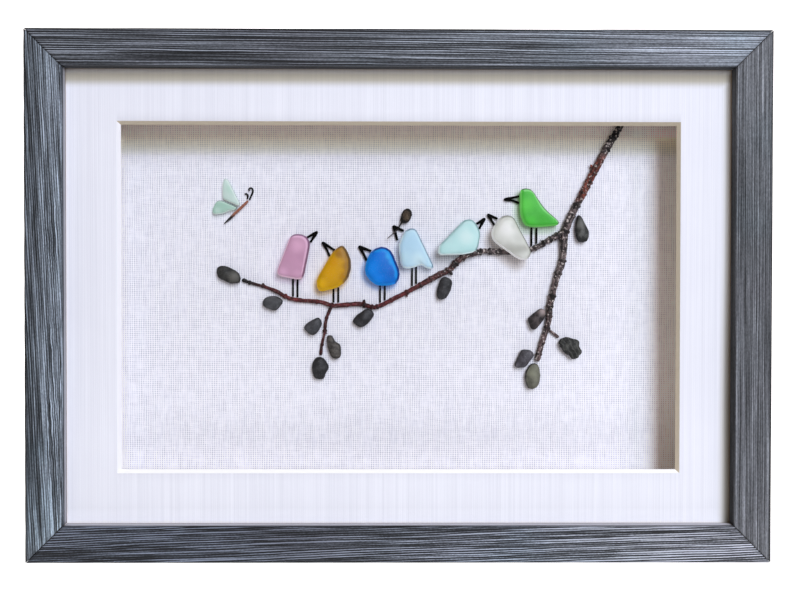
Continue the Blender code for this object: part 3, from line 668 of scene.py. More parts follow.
def core_material():
    m = Mat("cream_core", roughness=0.9, specular=0.15)
    layers = m.noise(1.0, 3.0, 0.6, m.mapping(scale=(300, 5200, 300)))
    fuzz = m.noise(1900.0, 3.0, 0.6)
    grain_ = m.math("ADD", m.math("MULTIPLY", layers, 0.6), m.math("MULTIPLY", fuzz, 0.4))
    geo = m.nt.nodes.new("ShaderNodeNewGeometry")
    # lit and shaded copies of the core's colour: pale on the bevels turned to the light, a khaki painted shade on those
    # turned from it
    lit = m.span(m.dot(geo.outputs["Normal"], (0.707, 0.0, 0.707)), -0.3, 0.3)
    pale = m.ramp(grain_, [(0.25, (246, 246, 246)), (0.75, (255, 255, 253))])
    deep = m.ramp(grain_, [(0.25, (192, 179, 156)), (0.75, (213, 202, 181))])
    # painted light: the bevels turned upwards are whiter and glow a little
    foot = m.span(m.dot(geo.outputs["Normal"], (-0.3, 0.0, 0.95)), 0.15, 0.55)
    m.set("Base Color", m.mix(lit, deep, m.mix(foot, (243, 243, 248), pale)))
    m.set("Emission Color", m.mix(foot, (0, 0, 0), (255, 255, 255)))
    m.set("Emission Strength", 0.09)
    m.bump(fuzz, 0.3, 0.00008)
    return m.mat


_mat_mesh = mat_mesh()
_slots = np.empty(len(_mat_mesh.polygons), np.int32)
_mat_mesh.polygons.foreach_get("material_index", _slots)
_mat = new_piece("window_mat_ribbed", _mat_mesh, [card_material(), core_material()], "window_mat", smooth=False)
_mat_mesh.polygons.foreach_set("material_index", _slots)
_mat_mesh.polygons.foreach_set("use_smooth", [bool(s == 0) for s in _slots])


# =================================================================== picture board
def board_mesh():
    """A sheet with slubs of the linen texture raised in its face."""
    sx, sz = SHEET_W / 2, SHEET_H / 2

    def line(limit, fine, step, coarse, centre):
        a = np.arange(-fine, fine + 1e-6, step)
        n = int(round((limit - fine) / coarse))
        out = np.concatenate([np.linspace(-limit, -fine, n, endpoint=False), a, np.linspace(fine, limit, n + 1)[1:]])
        return out + centre

    xs = line(sx, 127.75, 0.7, 3.0, 0.0)
    zs = line(sz, 80.75, 0.85, 3.0, MID_Z)
    X, Z = np.meshgrid(xs, zs)
    slub_v = smoothstep(0.62, 0.9, noise2(X / 0.95, Z / 16.0, 41))
    slub_h = smoothstep(0.64, 0.9, noise2(X / 15.0, Z / 1.15, 42))
    wave = 0.02 * fbm2(X / 22.0, Z / 22.0, 43, 2)
    Y = BOARD + 0.085 - 0.05 * slub_v - 0.045 * slub_h - wave
    nx, nz = len(xs), len(zs)
    front = np.stack([X, Y, Z], -1).reshape(-1, 3)
    idx = np.arange(nx * nz).reshape(nz, nx)
    a, b, c, d = idx[:-1, :-1], idx[:-1, 1:], idx[1:, 1:], idx[1:, :-1]
    faces = np.stack([a, b, c, d], -1).reshape(-1, 4).tolist()
    ring = idx[0, :].tolist() + idx[1:, -1].tolist() + idx[-1, -2::-1].tolist() + idx[-2:0:-1, 0].tolist()
    base = front[ring].copy()
    base[:, 1] = BOARD_BACK
    off = nx * nz
    n = len(ring)
    for k in range(n):
        j = (k + 1) % n
        faces.append([ring[k], off + k, off + j, ring[j]])
    faces.append([off + k for k in range(n)][::-1])
    mesh = mesh_from("backing_panel_fine", np.concatenate([front, base]), faces)
    outward(mesh)
    return mesh


def linen_material():
    m = Mat("linen_board", roughness=0.88, specular=0.2)
    wx = m.wave(295.5, direction="X", distortion=1.3, detail=2.0, detail_scale=0.9)
    wz = m.wave(338.0, direction="Z", distortion=1.6, detail=2.0, detail_scale=0.8)
    # each thread has its own thickness along its length
    vx = m.noise(1.0, 2.0, 0.6, m.mapping(scale=(1060, 200, 150)))
    hz = m.noise(1.0, 2.0, 0.6, m.mapping(scale=(190, 200, 1020), location=(7, 3, 1)))
    loose = m.noise(1.0, 2.0, 0.5, m.mapping(scale=(210, 200, 150), location=(3, 5, 2)))
    full = m.span(loose, 0.34, 0.60, 0.42, 1.0)
    threads = m.math("ADD", m.math("MULTIPLY", wx, 0.80), m.math("MULTIPLY", wz, 0.62))
    weave = m.math("MULTIPLY", threads, full)
    weave = m.math("ADD", weave, m.math("MULTIPLY", m.math("SUBTRACT", 1.0, full), 0.71))
    weave = m.math("ADD", weave, m.math("MULTIPLY", m.math("SUBTRACT", vx, 0.5), 0.72))
    weave = m.math("ADD", weave, m.math("MULTIPLY", m.math("SUBTRACT", hz, 0.5), 0.50))
    base = m.ramp(m.span(weave, 0.17, 1.25, smooth=False), [(0.0, (198, 199, 210)), (0.32, (226, 228, 237)), (0.62, (242, 243, 249)), (1.0, (252, 253, 255))])
    # painted light and shade on the board, with the coloured light painted beside each piece of glass
    base = m.mix(1.0, base, m.attribute("glow", "Color"), "MULTIPLY")
    m.set("Base Color", base)
    # painted bounce light: the board glows along its left edge and at its foot
    m.set("Emission Color", m.mix(1.0, base, m.attribute("painted_bounce_glow", "Color"), "MULTIPLY"))
    m.set("Emission Strength", 1.0)
    m.bump(weave, 0.4, 0.0002)
    return m.mat


BOARD_MESH = board_mesh()


# ========================================================================== glass
def glass_material(name, main, shade, rim, line, painted_highlight, cloud_and_light_spots, transmission=0.18, scatter=0.35, seed=0.0, rough=0.5, coarse=0.22, leave=0.75):
    """Frosted sea glass: cloudy tones inside, a fine darker line painted where the edge
    turns to the light, a soft painted highlight inside it, and a paler rim of painted light, which also glows, where
    the light leaves."""
    m = Mat(name, roughness=rough, specular=0.22)
    cloud = m.noise(170.0, 3.0, 0.5, m.mapping(location=(seed, seed * 0.7, 0)))
    grit = m.noise(2300.0, 2.0, 0.6)
    base = m.mix(m.span(cloud, 0.36, 0.66, 0.0, 0.35), main, shade)
    flat = m.mapping(scale=(1, 0, 1))
    # spots: cloudy places in the glass, among them painted highlights and painted shade
    for u, v, radius, rgb, strength in cloud_and_light_spots:
        x, z = seen(u, v, 2.0)
        n = m.nt.nodes.new("ShaderNodeVectorMath")
        n.operation = "DISTANCE"
        m.nt.links.new(flat, n.inputs[0])
        n.inputs[1].default_value = (x * MM, 0.0, z * MM)
        r = radius * 0.455 * MM
        base = m.mix(m.span(n.outputs["Value"], r, 0.1 * r, 0.0, strength), base, rgb)
    geo = m.nt.nodes.new("ShaderNodeNewGeometry")
    n = geo.outputs["Normal"]
    facing = m.dot(n, (0.0, -1.0, 0.0))
    lit = m.dot(n, (0.70, 0.0, 0.71))
    # painted highlight: a pale band just inside the edges turned to the light
    base = m.mix(m.math("MULTIPLY", m.math("MULTIPLY", m.span(facing, 0.992, 0.93), m.span(lit, 0.0, 0.2)), 0.9), base, painted_highlight)
    # painted shade: a dark line along the edges turned to the light
    base = m.mix(m.math("MULTIPLY", m.math("MULTIPLY", m.span(facing, 0.86, 0.58), m.span(lit, -0.12, 0.28)), 1.0), base, line)
    # painted light: a pale rim on the edges turned from the light, where light leaves the glass
    painted_exit_light = m.math("MULTIPLY", m.span(facing, 0.88, 0.45), m.span(lit, 0.05, -0.40))
    base = m.mix(m.math("MULTIPLY", painted_exit_light, leave), base, rim)
    base = m.mix(m.span(grit, 0.55, 0.8, 0.0, 0.06), base, (255, 255, 255))
    m.set("Base Color", base)
    m.set("Roughness", m.span(grit, 0.3, 0.7, rough - 0.08, rough + 0.10))
    m.set("Transmission Weight", transmission)
    m.set("Subsurface Weight", scatter)
    # the painted rim of light glows, though the glass is no lamp
    m.set("Emission Color", m.mix(painted_exit_light, (0, 0, 0), rim))
    m.set("Emission Strength", 0.19)
    m.set("Subsurface Radius", (1.0, 1.0, 1.0))
    m.set("Subsurface Scale", 0.002)
    m.set("IOR", 1.45)
    m.bump(m.math("ADD", m.math("MULTIPLY", grit, 0.6), m.noise(700.0, 3.0, 0.6)), coarse, 0.00012)
    return m.mat


# colours: main body, shaded side, rim of painted light where light leaves (it also glows), fine painted dark line at
# the lit edge,
# halo: a painted highlight inside that line; spots are cloudy places in the glass, some of them painted highlights and
# painted shade: where, how wide (px), colour, strength; glow is coloured light and shadow painted on the board: offset,
# reach, colour
GLASS = {
    "bird_pink_body": dict(slot="glass_pink", main=(209, 161, 189), shade=(194, 145, 174), rim=(244, 212, 229), line=(141, 104, 133), painted_highlight=(230, 188, 214),
                           cloud_and_light_spots=[(297, 246, 11, (228, 182, 208), 0.8), (290, 262, 14, (207, 159, 187), 0.7), (304, 258, 9, (197, 149, 177), 0.7), (283, 272, 8, (227, 180, 208), 0.8), (297, 273, 6, (219, 172, 199), 0.7)],
                           glow=(-1.2, -1.8, 2.2, (232, 220, 236), 0.8)),
    "bird_amber_body": dict(slot="glass_amber", main=(212, 160, 0), shade=(180, 132, 4), rim=(231, 186, 13), line=(110, 83, 40), painted_highlight=(170, 128, 53),
                            cloud_and_light_spots=[(331, 271, 14, (223, 167, 0), 0.95), (347, 255, 9, (161, 122, 57), 0.95), (348, 266, 8, (155, 107, 18), 0.85), (339, 254, 7, (163, 115, 35), 0.85), (344, 277, 8, (180, 122, 9), 0.6), (322, 284, 9, (232, 182, 6), 0.95), (334, 262, 7, (219, 156, 0), 0.8)],
                            glow=(-1.0, -1.3, 1.9, (255, 226, 168), 0.8), leave=0.55),
    "bird_cobalt_body": dict(slot="glass_cobalt", main=(0, 127, 226), shade=(0, 108, 207), rim=(0, 152, 240), line=(1, 54, 132), painted_highlight=(18, 154, 237),
                             cloud_and_light_spots=[(373, 268, 13, (0, 141, 240), 1.0), (386, 266, 11, (0, 114, 209), 0.6), (393, 274, 10, (0, 100, 196), 0.8), (389, 256, 5.5, (31, 183, 240), 0.9), (392, 262, 5, (25, 174, 237), 0.8), (378, 280, 9, (0, 141, 240), 0.9), (381, 252, 8, (0, 124, 226), 0.8)],
                             glow=(-1.1, -1.2, 2.2, (160, 206, 255), 0.8), leave=0.5),
    "bird_sky_body": dict(slot="glass_sky", main=(196, 230, 247), shade=(180, 216, 235), rim=(228, 246, 254), line=(132, 160, 178), painted_highlight=(206, 236, 250),
                          cloud_and_light_spots=[(410, 242, 14, (188, 224, 243), 0.6), (418, 260, 12, (218, 243, 252), 0.8), (405, 258, 10, (206, 238, 250), 0.7)],
                          glow=(-1.1, -1.0, 2.2, (226, 236, 248), 0.8)),
    "bird_aqua_body": dict(slot="glass_aqua", main=(194, 234, 232), shade=(184, 226, 226), rim=(238, 250, 250), line=(140, 178, 178), painted_highlight=(202, 234, 234),
                           cloud_and_light_spots=[(466, 237, 14, (224, 246, 244), 0.8), (452, 246, 12, (202, 238, 236), 0.7), (473, 229, 8, (190, 228, 228), 0.5)],
                           glow=(-1.6, -3.0, 3.0, (224, 226, 226), 0.8), leave=0.7),
    "bird_clear_body": dict(slot="glass_clear", main=(236, 238, 231), shade=(218, 220, 211), rim=(255, 255, 255), line=(150, 151, 142), painted_highlight=(224, 226, 218),
                            cloud_and_light_spots=[(506, 229, 13, (255, 255, 250), 0.9), (508, 247, 8, (196, 197, 188), 0.55), (514, 249, 8, (182, 183, 172), 0.6), (520, 249, 8, (170, 171, 158), 0.65), (526, 247, 7, (172, 173, 160), 0.6), (519, 239, 8, (208, 210, 200), 0.6), (514, 226, 6, (216, 219, 212), 0.6)],
                            glow=(-1.8, -3.2, 3.2, (230, 222, 212), 0.8), transmission=0.35, scatter=0.35, rough=0.40, coarse=0.05, leave=0.95),
    "bird_green_body": dict(slot="glass_green", main=(86, 202, 74), shade=(66, 182, 62), rim=(132, 230, 114), line=(84, 112, 84), painted_highlight=(146, 226, 138),
                            cloud_and_light_spots=[(526, 205, 11, (102, 220, 84), 0.9), (543, 218, 11, (70, 188, 56), 0.7), (531, 221, 8, (84, 214, 66), 0.7)],
                            glow=(-1.5, -2.4, 2.6, (214, 232, 206), 0.9), leave=0.6),
    "butterfly_wing_upper": dict(slot="glass_wing_pale", main=(212, 232, 224), shade=(198, 222, 212), rim=(246, 252, 250), line=(206, 222, 216), painted_highlight=(230, 240, 236),
                                 cloud_and_light_spots=[(229, 188, 7, (196, 226, 212), 0.8), (234, 198, 6, (216, 236, 228), 0.8)], glow=(-0.4, -0.6, 1.4, (232, 238, 240), 0.8)),
    "butterfly_wing_lower": dict(slot="glass_wing_deep", main=(180, 214, 198), shade=(156, 196, 178), rim=(228, 242, 236), line=(128, 158, 144), painted_highlight=(200, 224, 212),
                                 cloud_and_light_spots=[(222, 207, 7, (180, 216, 200), 0.7), (217, 210, 5, (206, 232, 220), 0.8)], glow=(-0.4, -0.7, 1.4, (228, 236, 234), 0.8)),
}
GLASS_POINTS = {}
for _k, (_node, _g) in enumerate(GLASS.items()):
    _mesh = refined(_node, 0.40 if _node.startswith("bird") else 0.24, 5)
    _p, _n = read_points(_mesh)
    _off = 0.10 + 0.16 * (noise3(_p, 4.5, 60 + _k) - 0.5) + 0.05 * (noise3(_p, 1.4, 80 + _k) - 0.5)
    _pit = smoothstep(0.80, 0.93, noise3(_p, 0.8, 90 + _k)) * (0.0 if "clear" in _node else 0.05)
    if not _node.startswith("bird"):
        _off = _off - 0.06
    _p = _p + _n * (_off - _pit)[:, None]
    write_points(_mesh, _p)
    GLASS_POINTS[_node] = _p
    _args = {k: v for k, v in _g.items() if k not in ("slot", "glow")}
    new_piece(_node + "_frosted", _mesh, glass_material("sea_" + _g["slot"], seed=0.37 * _k, **_args), _node)


def board_glow(mesh):
    """Painted light and shade on the board: each piece of glass gets a little coloured light painted down and to the
    left of it.
    """
    from mathutils.kdtree import KDTree
    p, _ = read_points(mesh)
    # painted light on the board: fuller at the foot and at the left edge, where the cut edges of the window
    # mat throw it back; painted shade, warm and long, under the window's top and right edges
    painted_light_level = 1.0 + 0.01 * np.clip(p[:, 0] / 100.0, -1, 1) + 0.07 * smoothstep(118, 50, p[:, 2]) + 0.025 * smoothstep(60, 110, p[:, 0]) - 0.055 * np.exp(-(p[:, 0] / 70.0) ** 2)
    col = painted_light_level[:, None] * np.array([1.024, 1.006, 1.012])
    high = seen(400, 122, BOARD)[1]
    right = seen(674, 300, BOARD)[0]
    left = seen(121, 300, BOARD)[0]
    foot = seen(400, 469, BOARD)[1]
    down = (high - p[:, 2]) / 0.4565 + 122.0
    over = (p[:, 0] - right) / 0.4565 + 674.0
    for k, (top_shade_tint, right_shade_tint) in enumerate((((1.16, 1.22, 1.12, 0.97, 0.87, 0.84, 0.88, 0.97), (1.0, 0.92, 1.00, 1.08, 1.13, 1.15, 1.18)),
                                          ((1.02, 1.12, 1.03, 0.92, 0.84, 0.83, 0.88, 0.97), (1.0, 0.93, 1.00, 1.07, 1.06, 1.08, 1.12)),
                                          ((0.86, 0.93, 0.82, 0.73, 0.67, 0.71, 0.81, 0.97), (1.0, 0.92, 0.99, 1.02, 0.98, 0.97, 0.97)))):
        a_ = np.interp(down, (126, 134, 138, 142, 146, 150, 154, 158), top_shade_tint)
        b_ = np.interp(over, (622, 636, 646, 652, 656, 660, 672), right_shade_tint)
        col[:, k] *= np.where(down < 138, a_, a_ * b_) if k else a_ * np.where(down < 130, 1.0, b_)
    # painted bounce light: the board glows along its left edge and at its foot, though it is no lamp
    beside = np.clip(p[:, 0] - left, 0, None)
    painted_bounce_glow = 0.34 * np.exp(-(beside / 1.9) ** 1.5) * smoothstep(high - 4.0, high - 12.0, p[:, 2]) + 0.10 * smoothstep(15.0, 0.0, p[:, 2] - foot) * smoothstep(right - 4.0, right - 14.0, p[:, 0])
    colour_attribute(mesh, "painted_bounce_glow", np.repeat(painted_bounce_glow[:, None], 3, 1) * np.array([1.0, 0.99, 0.97]))
    # coloured light and shadow painted on the board, down and to the left of each piece of glass
    for node, g in GLASS.items():
        dx, dz, reach, rgb, strength = g["glow"]
        pts = GLASS_POINTS[node][::3]
        tree = KDTree(len(pts))
        for i, q in enumerate(pts):
            tree.insert((q[0] + dx, 0.0, q[2] + dz), i)
        tree.balance()
        lo, hi = pts.min(0), pts.max(0)
        near = np.nonzero((p[:, 0] > lo[0] + dx - reach) & (p[:, 0] < hi[0] + reach) & (p[:, 2] > lo[2] + dz - reach) & (p[:, 2] < hi[2] + reach) & (p[:, 1] < BOARD + 1))[0]
        tint = np.array(lin(rgb)[:3])
        for i in near:
            d = tree.find((p[i, 0], 0.0, p[i, 2]))[2]
            if d < reach:
                w = (1 - d / reach) ** 2 * strength if d > 0.4 else strength * (1 - 0.4 / reach) ** 2
                col[i] *= 1 - w + w * tint
    colour_attribute(mesh, "glow", col)


board_glow(BOARD_MESH)
new_piece("backing_panel_linen", BOARD_MESH, linen_material(), "backing_panel", smooth=True)


# ======================================================================== the twig
def bark_material():
    m = Mat("twig_bark", roughness=0.66, specular=0.35)
    tone = m.attribute("bark", "Color")
    fine = m.noise(1250.0, 4.0, 0.7)
    fleck = m.noise(900.0, 2.0, 0.5, m.mapping(location=(3.3, 1.2, 0.4)))
    pit = m.noise(760.0, 2.0, 0.5, m.mapping(location=(1.3, 4.2, 2.4)))
    base = m.mix(m.span(fine, 0.32, 0.66, 0.0, 1.0), m.mix(1.0, tone, (128, 118, 118), "MULTIPLY"), m.mix(1.0, tone, (1.25, 1.22, 1.2, 1.0), "MULTIPLY"))
    base = m.mix(m.math("MULTIPLY", m.span(pit, 0.55, 0.63), m.math("ADD", m.math("MULTIPLY", m.attribute("pale"), 0.45), 0.35)), base, (20, 16, 16))
    lichen = m.math("MULTIPLY", m.span(fleck, 0.57, 0.66), m.attribute("pale"))
    base = m.mix(lichen, base, (206, 194, 188))
    m.set("Base Color", base)
    m.set("Roughness", m.span(fine, 0.2, 0.8, 0.78, 0.55))
    m.bump(fine, 0.7, 0.0003)
    return m.mat


def build_branch():
    mesh = refined("branch", 0.25, 2)
    p, n = read_points(mesh)
    x, z = p[:, 0], p[:, 2]
    rough = 0.45 + 0.55 * smoothstep(8, 30, x)      # the left half is smoother
    off = 0.07 + 0.10 * smoothstep(-8, 22, x) + rough * (0.30 * (noise3(p, 1.6, 5) - 0.5) + 0.18 * (noise3(p, 0.75, 6) - 0.5)) + 0.36 * (noise3(p, 3.6, 7) - 0.5)
    off = off + smoothstep(0.78, 0.92, noise3(p, 1.2, 8)) * 0.26 * rough
    swell = np.zeros(len(p))
    scar = np.zeros(len(p))
    near_d = np.full(len(p), 1e9)
    along = np.zeros(len(p))
    across = np.zeros(len(p))
    for k, (u, v, ang, height) in enumerate(RINGS):
        rx, rz = seen(u, v, 3.5)
        ang = math.radians(ang)
        ax, az = math.cos(ang), math.sin(ang)
        d = (x - rx) * ax + (z - rz) * az
        side = -(x - rx) * az + (z - rz) * ax
        near = np.exp(-(side / 3.2) ** 4)
        swell += near * (height * np.exp(-(d / 0.5) ** 2) - 0.35 * height * np.exp(-((np.abs(d) - 1.0) / 0.35) ** 2))
        scar += near * np.clip(height / 0.5, 0, 1) * np.exp(-((d - 0.45 * (noise3(p, 0.8, 30 + k % 5) - 0.5)) / 0.58) ** 2) * smoothstep(0.16, 0.42, noise3(p, 1.1, 33))
        r = np.hypot(d, side)
        take = r < near_d
        near_d = np.where(take, r, near_d)
        along = np.where(take, d + 9.7 * k, along)
        across = np.where(take, side, across)
    off = off + np.clip(swell, -0.3, 0.55)
    # slender ends keep their full length
    for u, v, reach, more in ((560.3, 338.3, 2.6, 0.40), (241, 279, 2.6, 0.46), (321.2, 356, 2.4, 0.25)):
        ex, ez = seen(u, v, 3.5)
        off = off + more * np.exp(-(np.hypot(x - ex, z - ez) / reach) ** 2)
    # the stem is stouter just under the fork
    off = off + 0.16 * smoothstep(140, 144, z) * smoothstep(156, 150, z) * smoothstep(56, 60, x)
    stub = np.zeros(len(p))
    for u, v, reach, less in ((364, 298.5, 1.1, 0.60), (540.8, 239.8, 1.2, 0.60)):
        ex, ez = seen(u, v, 3.5)
        stub += less * np.exp(-(np.hypot(x - ex, z - ez) / reach) ** 2)
    off = np.clip(off, -0.3, 0.68) - stub
    q = p + n * off[:, None]
    q[:, 1] = np.minimum(q[:, 1], BOARD - 0.12)
    write_points(mesh, q)
    red, brown, grey, black, rust = [np.array(lin(c)[:3]) for c in ((98, 34, 37), (84, 55, 54), (106, 95, 95), (18, 15, 16), (120, 60, 48))]
    right = smoothstep(0, 26, x)[:, None]
    col = red * (1 - right) + brown * right
    far = smoothstep(24, 44, x)[:, None]
    col = col * (1 - far) + grey * far
    tip = smoothstep(-58, -70, x)[:, None]
    col = col * (1 - tip) + black * tip
    up = (smoothstep(158, 163, z) * smoothstep(184, 178, z))[:, None]
    col = col * (1 - up) + rust * up
    top = smoothstep(182, 190, z)[:, None]
    col = col * (1 - top) + black * 1.6 * top
    low = (smoothstep(128, 112, z) * smoothstep(50, 60, x))[:, None]
    col = col * (1 - low * 0.4) + brown * low * 0.4
    side = (smoothstep(128, 122, z) * smoothstep(0, -10, x) * smoothstep(113, 109, z))[:, None]
    col = col * (1 - 0.5 * side) + black * 0.5 * side
    # long streaks of bark run with the twig
    frame_ = np.stack([along / 3.2, across / 0.55, p[:, 1] / 0.7], -1)
    streak = noise3(frame_, 1.0, 12)[:, None]
    mott = noise3(p, 2.8, 13)[:, None]
    crisp = smoothstep(0.30, 0.70, streak)
    strong = smoothstep(5, 30, x)[:, None]
    col = col * ((0.42 + 0.75 * crisp) * (1 - strong) + (0.04 + 1.22 * crisp) * strong + 0.40 * mott) * 0.90
    dark = np.clip(scar, 0, 1)[:, None] * 0.92
    col = col * (1 - dark) + black * 0.5 * dark
    colour_attribute(mesh, "bark", col)
    point_attribute(mesh, "pale", (0.10 + 0.80 * smoothstep(8, 36, x) * (1 - 0.45 * up[:, 0])) * (1 - 0.95 * np.clip(1.3 * scar, 0, 1)))
    return mesh


# knots and ring scars: where they are seen, the twig's direction there, height
RINGS = [(619, 129, 62, 0.3), (614, 138, 62, 0.5), (606.5, 149, 60, 0.5), (600, 160, 60, 0.2), (593, 172, 62, 0.3), (589, 181.6, 62, 0.5),
         (583, 193, 62, 0.3), (577, 205, 62, 0.4), (572, 215, 64, 0.3), (566, 231, 66, 0.6), (563.5, 244, 82, 0.15), (562.5, 260.5, 82, 0.6), (556, 272.5, 75, 0.4),
         (554, 285, 80, 0.15), (552, 295.5, 78, 0.55), (549, 306, 80, 0.4), (548.5, 316, 82, 0.3), (547.5, 328, 78, 0.5), (544, 343, 75, 0.2), (539.5, 354, 75, 0.4),
         (249, 282, -15, 0.35), (262, 286, -18, 0.2), (285, 296, -25, 0.35), (300, 300.5, -5, 0.12), (317, 301.5, -4, 0.12), (331, 305.5, -20, 0.45), (347, 304.5, 4, 0.12),
         (364, 303.0, 0, 0.5), (372, 306.5, -20, 0.35), (377, 307, 25, 0.3), (391, 300, 25, 0.2), (407, 292.5, 28, 0.35), (420, 284, 32, 0.3), (430, 278, 20, 0.35),
         (440, 274.5, 20, 0.2), (449, 271, 45, 0.55), (455, 262.5, 50, 0.5), (462, 257.5, 40, 0.45), (471, 253, 25, 0.3), (481, 251.2, 5, 0.45), (490, 251, 0, 0.4), (500, 251, 0, 0.3),
         (535, 248, 20, 0.3), (544, 243, 25, 0.5), (551, 240.5, 20, 0.4), (558, 236, 35, 0.5), (326, 318, 80, 0.2), (325, 331, 90, 0.4), (322.5, 345, 82, 0.2)]
new_piece("branch_bark", build_branch(), bark_material(), "branch")


# ===================================================================== the pebbles
def stone_material(name, dark, mid, pale, rough=0.58, veins=0.0, seed=0.0, pale_patch_and_highlight=None, depth=0.75):
    m = Mat(name, roughness=rough, specular=0.35)
    dark, mid, pale = [tuple(c * depth for c in lin(rgb)[:3]) + (1.0,) for rgb in (dark, mid, pale)]
    grain_ = m.noise(1500.0, 4.0, 0.6, m.mapping(location=(seed, 0, seed)))
    cloud = m.noise(300.0, 3.0, 0.55, m.mapping(location=(seed, seed, 0)))
    v = m.math("ADD", m.math("MULTIPLY", cloud, 0.72), m.math("MULTIPLY", grain_, 0.28))
    base = m.ramp(v, [(0.36, dark), (0.50, mid), (0.66, pale)])
    if veins:
        vein = m.wave(150.0, m.mapping(rotation=(0, 0.9 + seed, 0)), distortion=5.0, detail=3.0, detail_scale=2.0)
        base = m.mix(m.span(vein, 0.72, 0.95, 0.0, veins), base, pale)
    # a paler patch: partly the stone's own colour, partly a painted highlight
    if pale_patch_and_highlight:
        u, w, radius, rgb, strength = pale_patch_and_highlight
        x, z = seen(u, w, 3.0)
        n = m.nt.nodes.new("ShaderNodeVectorMath")
        n.operation = "DISTANCE"
        m.nt.links.new(m.mapping(scale=(1, 0, 1)), n.inputs[0])
        n.inputs[1].default_value = (x * MM, 0.0, z * MM)
        base = m.mix(m.span(n.outputs["Value"], radius * 0.46 * MM, 0.1 * MM, 0.0, strength), base, rgb)
    geo = m.nt.nodes.new("ShaderNodeNewGeometry")
    facing = m.dot(geo.outputs["Normal"], (0.0, -1.0, 0.0))
    # painted shade: the stone darkens towards its edges, where its face turns away from the front
    base = m.mix(m.span(facing, 0.86, 0.35, 0.0, 0.85), base, (12, 12, 13))
    fleck = m.noise(2600.0, 1.0, 0.5, m.mapping(location=(0, seed, 4)))
    base = m.mix(m.span(fleck, 0.68, 0.75, 0.0, 0.35), base, (150, 150, 146))
    m.set("Base Color", base)
    m.set("Roughness", m.span(grain_, 0.3, 0.7, rough - 0.1, rough + 0.1))
    m.bump(m.math("ADD", grain_, cloud), 0.35, 0.00022)
    return m.mat


STONES = {
    1: dict(depth=0.80, slot="pebble_charcoal", dark=(18, 18, 18), mid=(40, 40, 38), pale=(68, 68, 65), veins=0.3, pale_patch_and_highlight=(234, 277, 9, (104, 102, 96), 0.7)),
    2: dict(slot="pebble_slate", dark=(52, 53, 56), mid=(76, 77, 80), pale=(98, 99, 102)),
    3: dict(slot="pebble_slate", dark=(44, 45, 49), mid=(66, 67, 71), pale=(88, 89, 93)),
    4: dict(slot="pebble_brown", dark=(44, 41, 39), mid=(76, 72, 68), pale=(118, 112, 106), veins=0.3),
    5: dict(slot="pebble_charcoal", dark=(22, 22, 24), mid=(38, 38, 40), pale=(68, 68, 70)),
    6: dict(slot="pebble_slate", dark=(24, 24, 26), mid=(44, 44, 47), pale=(72, 72, 75)),
    7: dict(slot="pebble_slate", dark=(28, 28, 30), mid=(50, 50, 53), pale=(84, 84, 86)),
    8: dict(slot="pebble_charcoal", dark=(24, 25, 24), mid=(50, 51, 50), pale=(104, 105, 102), pale_patch_and_highlight=(580.5, 224, 8, (126, 126, 122), 0.6)),
    9: dict(depth=0.78, slot="pebble_brown", dark=(28, 24, 25), mid=(50, 44, 46), pale=(92, 83, 82), veins=0.35, pale_patch_and_highlight=(543.5, 310, 9, (168, 152, 149), 0.85)),
    10: dict(slot="pebble_rough", dark=(26, 27, 26), mid=(50, 51, 49), pale=(100, 101, 96), rough=0.7, veins=0.5),
    11: dict(depth=0.95, slot="pebble_purple", dark=(46, 44, 48), mid=(74, 72, 78), pale=(108, 105, 112)),
    12: dict(slot="pebble_olive", dark=(84, 84, 72), mid=(116, 116, 102), pale=(136, 136, 120), pale_patch_and_highlight=(533, 372, 8, (136, 138, 118), 0.6)),
}
for _k, _s in STONES.items():
    _node = "pebble_%02d" % _k
    _mesh = refined(_node, 0.26, 4)
    _p, _n = read_points(_mesh)
    _lump = 0.12 + 0.34 * (noise3(_p, 3.4, 200 + _k) - 0.5) + 0.10 * (noise3(_p, 1.2, 230 + _k) - 0.5)
    if _k == 10:
        _lump = _lump + 0.8 * (np.abs(noise3(_p, 1.6, 260) - 0.5) * 2 - 0.35) + 0.25 * (noise3(_p, 0.8, 261) - 0.5)
    _fine = 0.05 * (noise3(_p, 0.45, 300 + _k) - 0.5)
    write_points(_mesh, _p + _n * np.clip(_lump + _fine, -0.5, 0.28)[:, None])
    _args = {k: v for k, v in _s.items() if k != "slot"}
    new_piece(_node + "_stone", _mesh, stone_material("stone_%02d" % _k, seed=0.9 * _k, **_args), _node)


# ============================================== beaks, legs, antennae, sprig, body
def wire_material():
    m = Mat("black_wire", roughness=0.75, specular=0.08)
    n = m.noise(1800.0, 3.0, 0.6)
    m.set("Base Color", m.ramp(n, [(0.3, (0, 0, 0)), (0.6, (4, 4, 4)), (0.8, (14, 13, 13))]))
    m.set("Roughness", m.span(n, 0.3, 0.7, 0.65, 0.85))
    m.bump(n, 0.3, 0.00006)
    return m.mat


WIRE = wire_material()
BEAK_TIPS = {"pink": (317, 232.2), "amber": (323, 242.7), "cobalt": (359.6, 246.9), "sky": (393.5, 226.3), "aqua": (484.3, 219), "clear": (488.5, 213.7), "green": (505, 199.5)}
for _node in sorted(NODES):
    if "_beak" in _node or "_leg_" in _node or "antenna" in _node:
        _mesh = refined(_node, 0.13, 3)
        _p, _n = read_points(_mesh)
        _fat = 0.02 if "_leg_" in _node else 0.06
        if "_beak" in _node:
            _tx, _tz = seen(*BEAK_TIPS[_node.split("_")[1]], 5.0)
            _fat = _fat + 0.17 * smoothstep(4.6, 1.2, np.hypot(_p[:, 0] - _tx, _p[:, 2] - _tz))
        write_points(_mesh, _p + _n * (_fat + 0.07 * (noise3(_p, 0.9, 400) - 0.5))[:, None])
        new_piece(_node + "_wire", _mesh, WIRE, _node)


